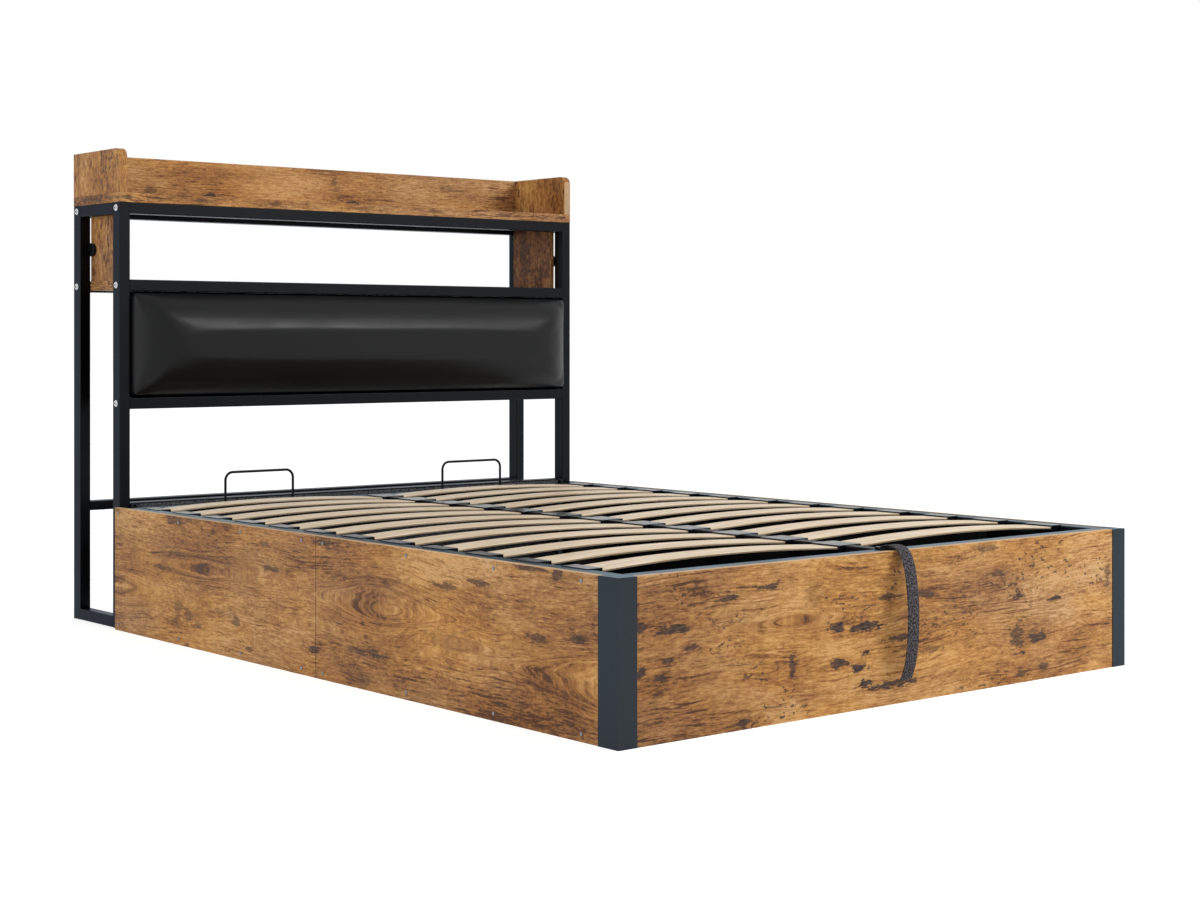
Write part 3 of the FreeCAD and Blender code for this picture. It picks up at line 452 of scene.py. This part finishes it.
def make_webbing():
    """Grey heathered webbing, laid out in metres along (X) and across (Y) by the strap's UV map."""
    material, tree, shader = new_material("grey webbing")[:3]
    flat = tree.nodes.new("ShaderNodeUVMap")
    flat.uv_map = "tape"
    look = place_group(tree, make_weave_group(), Place=flat.outputs[0])
    tree.links.new(look["Colour"], shader.inputs["Base Color"])
    shader.inputs["Roughness"].default_value = 0.9
    shader.inputs["Specular IOR Level"].default_value = 0.1
    raise_height(tree, shader, look["Height"], 0.4, 0.0004)
    return material


# The bolts' axes run across the bed: their places along it, to either side of
# a middle, their heights, and the reach of the painted shade in the socket round an axis
BOLT_MIDDLE, BOLT_APART = 1.04, 0.117
BOLT_HEIGHTS = (0.592, 0.904, 1.108)
SOCKET_RIM, SOCKET_FLOOR = 0.0036, 0.003


def make_bolts():
    """Bright bolts with painted shade in their sockets, at two places along the bed and three heights."""
    material, tree, shader, place = new_material("zinc bolts")
    at = add(tree, "ShaderNodeSeparateXYZ", {0: place}).outputs
    along = maths(tree, "ABSOLUTE", maths(tree, "SUBTRACT", at["Y"], BOLT_MIDDLE))
    along = maths(tree, "SUBTRACT", along, BOLT_APART)
    up = 1.0
    for height in BOLT_HEIGHTS:
        up = maths(tree, "MINIMUM", maths(tree, "ABSOLUTE", maths(tree, "SUBTRACT", at["Z"], height)), up)
    squares = maths(tree, "ADD", maths(tree, "MULTIPLY", along, along), maths(tree, "MULTIPLY", up, up))
    # Painted shade: the socket's hollow goes near black and loses its metal, where shade falls inside it
    socket = fade(tree, maths(tree, "SQRT", squares), SOCKET_RIM, SOCKET_FLOOR)
    colour = blend(tree, socket, srgb(232, 232, 236), srgb(14, 14, 16))
    tree.links.new(colour, shader.inputs["Base Color"])
    metal = maths(tree, "SUBTRACT", 0.8, maths(tree, "MULTIPLY", socket, 0.8))
    tree.links.new(metal, shader.inputs["Metallic"])
    shader.inputs["Roughness"].default_value = 0.35
    return material


COOL = (0.72, 0.88, 1.0, 1)
steel = speckled("powder coated steel", srgb(45, 49, 53), srgb(51, 56, 60), 0.34, bump=0.05, metallic=1.0,
                 tint=COOL)
# A darker copy of the powder-coated steel for the headboard's frame: painted shade, for the bed hides what
# these faces would reflect
painted_shade_steel = speckled("shaded steel", srgb(27, 28, 30), srgb(31, 32, 34), 0.38, bump=0.05, metallic=1.0,
                      tint=(0.67, 0.72, 0.79, 1))
black_and_shade_steel = speckled("black steel", srgb(7, 7, 8), srgb(12, 12, 13), 0.45, bump=0.05, level=0.15)
plastic = speckled("black plastic", srgb(6, 7, 9), srgb(11, 12, 14), 0.26, bump=0.05, level=0.36, tint=COOL)
zinc = speckled("zinc", srgb(176, 176, 182), srgb(214, 214, 220), 0.3, metallic=0.9, level=0.5)
dull_zinc = speckled("dull zinc", srgb(112, 110, 112), srgb(150, 148, 152), 0.4, metallic=0.9, level=0.5)
chrome = speckled("polished rod", srgb(190, 190, 194), srgb(205, 205, 208), 0.12, metallic=1.0, level=0.5)
lining = speckled("non-woven cloth", srgb(30, 30, 32), srgb(92, 92, 96), 0.9, specks=330.0, bump=0.5,
                  level=0.1)
# A darker copy of the non-woven cloth for the floor inside the box: painted shade, where little light reaches
shaded_floor_lining = speckled("dark non-woven cloth", srgb(8, 8, 9), srgb(26, 26, 28), 0.9, specks=330.0, bump=0.5,
                        level=0.1)
leather = speckled("black leather", srgb(8, 9, 10), srgb(12, 13, 14), 0.36, specks=1400.0, bump=0.04,
                   level=0.2)
webbing = make_webbing()
beech = grained("bent slat", srgb(232, 214, 187), srgb(200, 175, 142))
# The slats' long edges: a browner ply edge, darkened further as painted shade cast by the slat in front
ply_edge_and_shade = grained("slat edge", srgb(158, 130, 98), srgb(104, 80, 54))


# Where the boards' left ends lie along the grain, and how high their top edges
# and the shelf's front edge are, in millimetres
FOOT_START, SIDE_START, SHELF_START = 729, 903, 760
BOX_HIGH, HEAD_HIGH, SHELF_HIGH = 320, 1265, 1136
# The knots of the side boards and the shelf are softer than the foot board's
SIDE_KNOTS, SHELF_KNOTS = 0.75, 0.7

# Marks on the boards, in millimetres: from the left edge, down from the top
# edge, half length and half height, then for a knot its depth from 0 to 1

foot_spots = [(x - FOOT_START, BOX_HIGH - y, length, height, depth) for x, y, length, height, depth in (
    (90, 108, 42, 9, 0.8), (8, 100, 10, 9, 0.8), (80, 165, 12, 5, 0.8), (140, 146, 16, 6, 0.7),
    (12, 180, 10, 7, 0.8), (57, 196, 17, 8, 1.0), (235, 60, 26, 7, 0.75), (345, 45, 38, 7, 0.75),
    (408, 208, 9, 20, 0.7), (540, 143, 22, 11, 0.9), (622, 150, 46, 9, 0.85), (545, 218, 22, 8, 0.8),
    (600, 233, 17, 8, 1.0), (622, 203, 10, 5, 0.9), (625, 268, 18, 9, 0.85), (700, 277, 60, 7, 0.8),
    (275, 305, 15, 11, 0.8), (718, 182, 36, 6, 0.7), (695, 95, 28, 7, 0.7), (805, 97, 32, 9, 0.65),
    (1112, 215, 20, 26, 0.65), (1178, 223, 28, 11, 0.8), (1133, 254, 12, 5, 0.9), (1118, 123, 14, 7, 0.8),
    (1245, 142, 20, 5, 0.8), (1040, 72, 28, 8, 0.5), (1440, 105, 10, 34, 0.5), (1130, 298, 18, 7, 0.6),
    (1205, 290, 16, 8, 0.6), (470, 70, 26, 26, 0.22), (820, 215, 45, 7, 0.4), (1010, 15, 40, 6, 0.5),
)]
side_spots = [(x - SIDE_START, BOX_HIGH - y, length, height, SIDE_KNOTS * depth)
              for x, y, length, height, depth in (
    (455, 125, 22, 18, 0.55), (788, 92, 40, 7, 0.75), (765, 37, 20, 7, 0.6), (248, 132, 32, 8, 0.75),
    (110, 110, 26, 16, 0.35), (345, 225, 26, 12, 0.55), (400, 240, 30, 14, 0.6), (340, 255, 18, 9, 0.5),
    (440, 262, 22, 8, 0.5), (635, 230, 22, 10, 0.75), (700, 290, 18, 6, 0.7), (985, 256, 24, 9, 0.95),
    (335, 12, 40, 11, 0.85), (390, 315, 12, 4, 0.8), (15, 8, 20, 6, 0.6), (580, 215, 60, 9, 0.35),
    (1030, 14, 46, 9, 0.85), (1490, 65, 34, 8, 0.8), (1612, 48, 34, 7, 0.85), (1275, 82, 18, 6, 0.6),
    (1225, 238, 46, 8, 0.8), (1185, 302, 22, 13, 0.55), (1672, 284, 9, 4, 1.0), (1775, 5, 46, 6, 0.9),
    (1860, 11, 14, 10, 0.9), (1805, 138, 30, 8, 0.85), (1925, 127, 24, 7, 0.9), (1540, 180, 70, 22, 0.25),
    (1182, 176, 6, 4, 0.8), (1780, 150, 12, 6, 0.4), (1150, 240, 40, 5, 0.5),
)]
side_figures = [(x - SIDE_START, BOX_HIGH - y, length, height) for x, y, length, height in (
    (1240, 130, 150, 42), (30, 202, 150, 34), (440, 118, 190, 26), (2010, 205, 150, 50),
    (720, 100, 90, 16), (1540, 180, 80, 12),
)]
back_spots = [(x - SHELF_START, HEAD_HIGH - y, length, height, depth) for x, y, length, height, depth in (
    (410, 96, 22, 8, 1.0), (885, 102, 34, 12, 0.85), (215, 92, 26, 12, 0.5), (60, 50, 20, 12, 0.4),
    (1240, 40, 40, 8, 0.35), (820, 35, 10, 16, 0.4), (700, 108, 30, 7, 0.4), (1050, 108, 36, 6, 0.35),
)]
shelf_spots = [(x - SHELF_START, SHELF_HIGH, length, 5, SHELF_KNOTS * depth) for x, length, depth in (
    (20, 22, 0.8), (250, 30, 0.5), (470, 18, 0.6), (760, 40, 0.4), (1010, 24, 0.5), (1260, 26, 0.5),
    (1490, 18, 0.9),
)]
# Turns for a grain that runs along the bed, and for one that runs up
lengthwise = (0, 0, QUARTER)
upright = (0, QUARTER, 0)
# The painted highlight on the top edges of the box's boards and the painted
# shade on their inner faces, each a direction and a limit along it, and the seam of the left boards
LIT_TOP_EDGE = ((0, 0, 1), 0.3192)
LEFT_INNER, RIGHT_INNER, FOOT_INNER = ((1, 0, 0), -0.759), ((-1, 0, 0), -0.759), ((0, 1, 0), -1.125)
SEAM = -0.087
left_seed, right_seed = (1.7, 0, 0.4), (5.3, 0, 1.7)
finishes = {
    # The foot board's lean is painted light: it grows paler towards its right end, where the light falls
    "foot_panel": board("foot board", (0, 0, 0), (0.31, 0, 0.13), foot_spots, [(-300, 200, 90, 16)], 0.12,
                        0.15, FOOT_INNER, LIT_TOP_EDGE, painted_light_lean=0.11),
    "left_foot_panel": board("left foot board", lengthwise, left_seed, side_spots, side_figures, 0.1,
                             0.03, LEFT_INNER, LIT_TOP_EDGE, SEAM, flecks=0.35),
    "left_head_panel": board("left head board", lengthwise, left_seed, side_spots, side_figures, 0.1,
                             0.03, LEFT_INNER, LIT_TOP_EDGE, SEAM, flecks=0.35),
    "right_foot_panel": board("right foot board", lengthwise, right_seed, side_spots[:14], side_figures[:3],
                              0.3, 0.0, RIGHT_INNER, LIT_TOP_EDGE, flecks=0.35),
    "right_head_panel": board("right head board", lengthwise, right_seed, side_spots[14:], side_figures[3:],
                              0.3, 0.0, RIGHT_INNER, LIT_TOP_EDGE, flecks=0.35),
    "shelf_board": board("top shelf", seed=(2.3, 0.6, 0.5), spots=shelf_spots, knots=0.3, tone=-0.03,
                         flecks=0.4),
    "lower_shelf": board("lower shelf", seed=(4.3, 0.9, 0.2), knots=0.3, tone=0.05),
    "back_board": board("back board", seed=(6.1, 0.3, 0.8), spots=back_spots, knots=0.15, tone=0.07,
                        flecks=0.3),
    "left_cheek": board("left cheek", upright, (0.6, 1.1, 0.7), knots=0.3, tone=0.1),
    # The right cheek's front edge gets a painted highlight, where the key light catches it
    "right_cheek": board("right cheek", upright, (1.9, 2.1, 1.3), knots=0.35, tone=-0.03,
                         lit_edge=((0, -1, 0), -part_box("right_cheek")[0][1] - 0.001)),
    "left_end_panel": board("left end panel", upright, (3.6, 0.4, 2.3), knots=0.5, tone=-0.25),
    "right_end_panel": board("right end panel", upright, (4.9, 1.4, 0.3), knots=0.4, tone=-0.12),
}
slot_finishes = {
    "steel": steel, "plastic": plastic, "fixings": zinc, "rod": chrome, "lining": lining,
    "padding": leather, "webbing": webbing, "slats": beech,
}
finishes["frame_bolts"] = make_bolts()
finishes["panel_screws"] = dull_zinc
# The headboard's frame takes the darker copy of the steel, as painted shade
for node in ("left_side_frame", "right_side_frame", "top_front_bar", "top_back_bar", "cushion_top_bar",
             "mid_back_bar", "cushion_bottom_bar", "head_crossbar", "low_back_bar"):
    finishes[node] = painted_shade_steel
# The stops are black rod; the centre beam gets the same black as painted shade, for it lies low in shadow
# between the holders
for node in ("left_stop", "right_stop", "centre_beam"):
    finishes[node] = black_and_shade_steel
for entry in frame["record"]["subparts"]:
    node = entry["node"]
    mesh = nodes[node].data
    mesh.materials.clear()
    mesh.materials.append(finishes.get(node) or slot_finishes[entry["material_slot"]])


# Pieces made here

def add_piece(name, points, faces, material, body, replaced):
    """Make a piece of points and faces, ride it on a body and let it replace a CAD node."""
    mesh = bpy.data.meshes.new(name)
    mesh.from_pydata(points, [], faces)
    mesh.materials.append(material)
    mesh.shade_smooth()
    piece = bpy.data.objects.new(name, mesh)
    bpy.context.collection.objects.link(piece)
    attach(piece, body)
    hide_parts(replaced)
    return piece


def crease(piece, degrees=35):
    """Keep edges sharper than an angle sharp in the shading."""
    piece.data.set_sharp_from_angle(angle=math.radians(degrees))


def skin(grid):
    """Faces over a grid of closed rings, with a flat face at each end.

    Face (i, j) joins ring i to ring i + 1 between points j and j + 1, and
    all faces are turned over if they would close a negative volume.
    """
    rows, around = grid.shape[:2]
    places = np.arange(rows * around).reshape(rows, around)
    following = np.roll(places, -1, axis=1)
    sides = np.stack([places[:-1], following[:-1], following[1:], places[1:]], axis=-1).reshape(-1, 4)
    faces = sides.tolist() + [places[0, ::-1].tolist(), places[-1].tolist()]
    points = grid.reshape(-1, 3)
    first, second, third = (points[sides[:, corner]] for corner in (0, 1, 2))
    slopes = np.cross(second - first, third - first)
    outward = np.einsum("ij,ij->i", first - points.mean(axis=0), slopes).sum() > 0
    return points, faces if outward else [face[::-1] for face in faces]


def repeated(points, faces, shifts):
    """Copies of a shape, one at each shift, as one list of points and faces."""
    count = len(points)
    every = (points[None] + np.asarray(shifts)[:, None]).reshape(-1, 3)
    joined = [[place + copy * count for place in face] for copy in range(len(shifts)) for face in faces]
    return every, joined


def round_ring(wide, tall, radius, steps=4):
    """The outline of a rectangle with round corners, about its middle, as (across, up) pairs."""
    turn = np.linspace(0, QUARTER, steps)
    middles = np.array([(1, 1), (-1, 1), (-1, -1), (1, -1)]) * (wide / 2 - radius, tall / 2 - radius)
    turns = [turn + QUARTER * quarter for quarter in range(4)]
    return np.concatenate([
        middle + radius * np.stack([np.cos(angle), np.sin(angle)], axis=-1)
        for middle, angle in zip(middles, turns)
    ])


SLAT_WIDE, SLAT_THICK, SLAT_ROWS = 0.078, 0.0056, 12
SLAT_END, SLAT_CROWN, SLAT_ROUND, SLAT_STEPS = 0.007, 0.0116, 0.0022, 29
# The faces of a slat's outline that are its two long edges
SLAT_EDGES = (7, 15)


def make_slats(node):
    """Twelve bent slats: a round-edged section carried over an arch, crown x (1 - u squared).

    Their tops lie at the CAD slats' tops, which end SLAT_END above the node's lowest point.
    """
    low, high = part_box(node)
    middle, half = (low[0] + high[0]) / 2, (high[0] - low[0]) / 2
    ring = round_ring(SLAT_WIDE, SLAT_THICK, SLAT_ROUND)
    u = np.linspace(-1, 1, SLAT_STEPS)[:, None]
    grid = np.stack([
        middle + half * u + 0 * ring[None, :, 0],
        low[1] + SLAT_WIDE / 2 + ring[None, :, 0] + 0 * u,
        low[2] + SLAT_END - SLAT_THICK / 2 + ring[None, :, 1] + SLAT_CROWN * (1 - u ** 2),
    ], axis=-1)
    pitch = (high[1] - low[1] - SLAT_WIDE) / (SLAT_ROWS - 1)
    points, faces = repeated(*skin(grid), [(0, pitch * row, 0) for row in range(SLAT_ROWS)])
    slats = add_piece(f"bent_{node}", points, faces, beech, "platform", node)
    # Their long edges take the ply colour with painted shade
    slats.data.materials.append(ply_edge_and_shade)
    sides = np.zeros(len(faces) // SLAT_ROWS, dtype=np.int32)
    for edge in SLAT_EDGES:
        sides[edge:len(sides) - 2:len(ring)] = 1
    slats.data.polygons.foreach_set("material_index", np.tile(sides, SLAT_ROWS))
    crease(slats)


make_slats("left_slats")
make_slats("right_slats")


# The padded panel's outer form: rounded rectangles from its back to its
# front, as (place, inset above and below, inset at each end, corner), in
# millimetres. Places count forwards from the headboard's front plane.
CUSHION_RINGS = (
    (-36, 3, 3, 8), (-31, 0, 0, 10), (-16, 0, 0, 10), (-10, 5, 2, 10), (10, 5, 2, 10), (15, 7, 4, 11),
    (22, 14, 14, 12), (31, 25, 29, 14), (40, 32, 40, 17), (47, 40, 51, 20), (54, 49, 62, 24),
    (60, 59, 74, 28), (65, 70, 90, 32), (68, 86, 112, 34), (69.5, 103, 140, 30), (70, 119, 190, 18),
)
# The limits of the swollen panel: its lowest and highest edge, half its width,
# and how far it reaches forwards and backwards of the front plane
CUSHION_LOW, CUSHION_HIGH, CUSHION_HALF = 0.6072, 0.8888, 0.7295
CUSHION_FORWARD, CUSHION_BACK = 0.0705, 0.036
# Before it swells, the panel's crown past CUSHION_FLAT millimetres is drawn in
# to CUSHION_START of its depth. The swelling moves no point further than
# CUSHION_CAP, the rim further back than CUSHION_LIP is held, and points within
# CUSHION_SNAP of the lowest or highest edge end on it.
CUSHION_FLAT, CUSHION_START, CUSHION_CAP = 8, 0.97, 0.004
CUSHION_VOXEL, CUSHION_LIP, CUSHION_SNAP = 0.007, 0.013, 0.003
CUSHION_PRESSURE, CUSHION_FRAMES = 4.0, 20
HEADBOARD_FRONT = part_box("head_crossbar")[0][1]


def cushion_start():
    """The panel's form before it swells: its rings joined, with the crown drawn in."""
    wide, tall = 2 * CUSHION_HALF, CUSHION_HIGH - CUSHION_LOW
    middle = (CUSHION_HIGH + CUSHION_LOW) / 2
    rings = []
    for place, vertical, side, corner in CUSHION_RINGS:
        ring = round_ring(wide - 0.002 * side, tall - 0.002 * vertical, 0.001 * corner, 6)
        drawn = CUSHION_FLAT + (place - CUSHION_FLAT) * CUSHION_START if place > CUSHION_FLAT else place
        depth = np.full(len(ring), HEADBOARD_FRONT - 0.001 * drawn)
        rings.append(np.stack([ring[:, 0], depth, middle + ring[:, 1]], axis=-1))
    return skin(np.array(rings))


def swell(piece):
    """Blow the piece up with the cloth solver, cap how far each point goes, and keep the result."""
    remesh = piece.modifiers.new("even", "REMESH")
    remesh.mode = "VOXEL"
    remesh.voxel_size = CUSHION_VOXEL
    remesh.use_smooth_shade = True
    graph = bpy.context.evaluated_depsgraph_get()
    even = bpy.data.meshes.new_from_object(piece.evaluated_get(graph))
    piece.modifiers.clear()
    piece.data = even
    start = np.empty(len(even.vertices) * 3)
    even.vertices.foreach_get("co", start)
    held = piece.vertex_groups.new(name="held")
    rim = np.flatnonzero(start.reshape(-1, 3)[:, 1] > HEADBOARD_FRONT - CUSHION_LIP)
    held.add(rim.tolist(), 1.0, "REPLACE")
    cloth = piece.modifiers.new("swell", "CLOTH")
    cloth.settings.vertex_group_mass = "held"
    cloth.settings.use_pressure = True
    cloth.settings.uniform_pressure_force = CUSHION_PRESSURE
    cloth.settings.effector_weights.gravity = 0.0
    scene = bpy.context.scene
    for step in range(1, CUSHION_FRAMES + 1):
        scene.frame_set(step)
    graph = bpy.context.evaluated_depsgraph_get()
    swollen = bpy.data.meshes.new_from_object(piece.evaluated_get(graph))
    piece.modifiers.clear()
    scene.frame_set(1)
    end = np.empty(len(swollen.vertices) * 3)
    swollen.vertices.foreach_get("co", end)
    start, end = start.reshape(-1, 3), end.reshape(-1, 3)
    move = end - start
    length = np.linalg.norm(move, axis=1, keepdims=True)
    end = start + move * np.minimum(1.0, CUSHION_CAP / np.maximum(length, 1e-9))
    low = (-CUSHION_HALF, HEADBOARD_FRONT - CUSHION_FORWARD, CUSHION_LOW)
    high = (CUSHION_HALF, HEADBOARD_FRONT + CUSHION_BACK, CUSHION_HIGH)
    end = np.clip(end, low, high)
    back = start[:, 1] > HEADBOARD_FRONT + CUSHION_LIP
    end[back & (start[:, 2] < CUSHION_LOW + CUSHION_SNAP), 2] = CUSHION_LOW
    end[back & (start[:, 2] > CUSHION_HIGH - CUSHION_SNAP), 2] = CUSHION_HIGH
    even.vertices.foreach_set("co", end.ravel())
    even.update()


def make_cushion():
    """The headboard's padded panel, black leather over foam."""
    points, faces = cushion_start()
    panel = add_piece("padded_panel", points, faces, leather, "base", "cushion")
    swell(panel)
    panel.data.materials.clear()
    panel.data.materials.append(leather)
    panel.data.shade_smooth()
    smooth = panel.modifiers.new("smooth", "SUBSURF")
    smooth.levels = smooth.render_levels = 1


make_cushion()


# The pull strap's outer line, from where it is clamped on the platform to
# its free end, as (y, z) in millimetres
STRAP_LINE = (
    (-1084, 322.5), (-1095, 325.5), (-1107, 329), (-1119, 330), (-1131, 328.8), (-1142.5, 325),
    (-1150.3, 318.3), (-1155.8, 310.3), (-1163, 293.5), (-1168.5, 273), (-1171.5, 254), (-1175, 224),
    (-1176.6, 190.6), (-1176, 155), (-1173.5, 120.7), (-1167, 84), (-1156, 52.5),
)
STRAP_HALF, STRAP_THICK, STRAP_ROUND = 0.01725, 0.0024, 0.001


def smooth_line(points, steps=8):
    """A Catmull-Rom line through points, with the same count of steps in each gap."""
    points = np.asarray(points, dtype=float)
    held = np.concatenate([2 * points[:1] - points[1:2], points, 2 * points[-1:] - points[-2:-1]])
    t = np.linspace(0, 1, steps, endpoint=False)[:, None]
    pieces = [
        0.5 * (2 * b + (c - a) * t + (2 * a - 5 * b + 4 * c - d) * t ** 2 + (3 * b - a - 3 * c + d) * t ** 3)
        for a, b, c, d in zip(held[:-3], held[1:-2], held[2:-1], held[3:])
    ]
    return np.concatenate([*pieces, points[-1:]])


def make_strap():
    """A round-edged tape swept along its line: the line plus the outline's place across and inwards."""
    line = smooth_line(STRAP_LINE) / 1000
    along = np.gradient(line, axis=0)
    along /= np.linalg.norm(along, axis=1, keepdims=True)
    inward = np.stack([-along[:, 1], along[:, 0]], axis=-1)
    ring = round_ring(2 * STRAP_HALF, STRAP_THICK, STRAP_ROUND)
    middle = line + inward * STRAP_THICK / 2
    grid = np.empty((len(line), len(ring), 3))
    grid[..., 0] = ring[:, 0]
    grid[..., 1:] = middle[:, None] + inward[:, None] * ring[None, :, 1, None]
    points, faces = skin(grid)
    strap = add_piece("woven_strap", points, faces, webbing, "platform", "pull_strap")
    run = np.concatenate([[0], np.cumsum(np.linalg.norm(np.diff(line, axis=0), axis=1))])
    flat = np.stack([np.repeat(run, len(ring)), points[:, 0]], axis=-1)
    corners = np.empty(len(strap.data.loops), dtype=np.int32)
    strap.data.loops.foreach_get("vertex_index", corners)
    tape = strap.data.uv_layers.new(name="tape")
    tape.uv.foreach_set("vector", flat[corners].ravel())
    crease(strap, 50)


make_strap()


CLOTH_WAVE, CLOTH_THICK, CLOTH_POINTS = 0.0004, 0.0008, (61, 41)


def make_cloth(name, node, material, across, up):
    """A thin cloth in a node's place, with waves of CLOTH_WAVE x the product of two slanting sines."""
    low, high = (np.array(corner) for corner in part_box(node))
    u, v = np.meshgrid(*(np.linspace(0, 1, count) for count in CLOTH_POINTS))
    size = high - low
    waves = CLOTH_WAVE * np.sin(9 * math.pi * u + 2 * v) * np.sin(5 * math.pi * v + 3 * u)
    points = np.empty((u.size, 3))
    thin = 3 - across - up
    points[:, across] = (low[across] + size[across] * u).ravel()
    points[:, up] = (low[up] + size[up] * v).ravel()
    points[:, thin] = ((low[thin] + high[thin]) / 2 + waves).ravel()
    place = np.arange(u.size).reshape(u.shape)
    corners = (place[:-1, :-1], place[:-1, 1:], place[1:, 1:], place[1:, :-1])
    faces = np.stack(corners, axis=-1).reshape(-1, 4)
    cloth = add_piece(name, points, faces.tolist(), material, "base", node)
    thick = cloth.modifiers.new("thickness", "SOLIDIFY")
    thick.thickness = CLOTH_THICK
    thick.offset = 0.0


make_cloth("head_lining", "head_cloth", lining, 0, 2)
# The floor cloth takes the darker cloth, as painted shade inside the box
make_cloth("shaded_floor_lining", "floor_cloth", shaded_floor_lining, 0, 1)


# Small rounds on the edges of boards, steel and holders, which catch the light

def ease(node, width):
    """Round a CAD node's sharp edges by a small width."""
    weld = nodes[node].modifiers.new("weld", "WELD")
    weld.merge_threshold = 0.00001
    round_edge = nodes[node].modifiers.new("round", "BEVEL")
    round_edge.width = width
    round_edge.segments = 2
    round_edge.limit_method = "ANGLE"
    round_edge.angle_limit = math.radians(60)


BOARD_ROUND, STEEL_ROUND = 0.0006, 0.0009
for node in ("foot_panel", "shelf_board", "lower_shelf", "left_cheek", "right_cheek", "back_board"):
    ease(node, BOARD_ROUND)
for node in ("left_corner_post", "right_corner_post", "left_upper_rail", "right_upper_rail",
             "foot_upper_rail", "left_lift_tube", "right_lift_tube", "foot_lift_tube", "outer_holders",
             "centre_holders", "panel_knobs"):
    ease(node, STEEL_ROUND)


# Camera, at the photograph's place

camera_data = bpy.data.cameras.new("camera")
camera_data.sensor_width = 36
camera_data.lens = 60.9
camera_data.shift_y = -0.0928
camera_data.clip_end = 60
camera = bpy.data.objects.new("camera", camera_data)
camera.location = (-3.2002, -4.0024, 0.7628)
camera.rotation_euler = (QUARTER, 0, math.radians(-39.76))
bpy.context.collection.objects.link(camera)
bpy.context.scene.camera = camera


# Stage and light

def lamp(name, place, target, size, watts):
    """A soft rectangular light that faces a target."""
    data = bpy.data.lights.new(name, "AREA")
    data.shape = "RECTANGLE"
    data.size, data.size_y = size
    data.energy = watts
    light = bpy.data.objects.new(name, data)
    light.location = place
    light.rotation_euler = (Vector(target) - Vector(place)).to_track_quat("-Z", "Y").to_euler()
    bpy.context.collection.objects.link(light)


def show_white(tree):
    """1 for rays from the camera and for rays that a gloss or a glass sends on."""
    path = tree.nodes.new("ShaderNodeLightPath").outputs
    seen = maths(tree, "MAXIMUM", path["Is Camera Ray"], path["Is Glossy Ray"])
    return maths(tree, "MAXIMUM", seen, path["Is Transmission Ray"])


def make_floor():
    """A plain pale floor: white where it is seen, except for the soft shadow round the bed."""
    half = 40.0
    corners = [(-half, -half, 0), (half, -half, 0), (half, half, 0), (-half, half, 0)]
    mesh = bpy.data.meshes.new("floor")
    mesh.from_pydata(corners, [], [(0, 1, 2, 3)])
    floor = bpy.data.objects.new("floor", mesh)
    bpy.context.collection.objects.link(floor)
    material, tree, shader = new_material("pale floor")[:3]
    shader.inputs["Base Color"].default_value = (0.8, 0.8, 0.8, 1)
    shader.inputs["Roughness"].default_value = 0.9
    shader.inputs["Specular IOR Level"].default_value = 0.0
    shader.inputs["Emission Color"].default_value = (1, 1, 1, 1)
    tree.links.new(maths(tree, "MULTIPLY", show_white(tree), 0.6), shader.inputs["Emission Strength"])
    mesh.materials.append(material)


def make_world():
    """Soft white surroundings: plain white where they are seen, dimmer as light."""
    world = bpy.data.worlds.new("studio")
    world.use_nodes = True
    tree = world.node_tree
    strength = maths(tree, "ADD", maths(tree, "MULTIPLY", show_white(tree), 0.4), 0.6)
    background = tree.nodes["Background"]
    background.inputs["Color"].default_value = (1, 1, 1, 1)
    tree.links.new(strength, background.inputs["Strength"])
    bpy.context.scene.world = world


make_floor()
make_world()
lamp("right front", (2.8, -3.6, 3.3), (0, 0, 0.5), (1.6, 1.2), 125)
lamp("left front", (-4.6, -1.2, 2.0), (0, 0, 0.5), (2.6, 2.4), 52)
bpy.context.scene.view_settings.view_transform = "Standard"
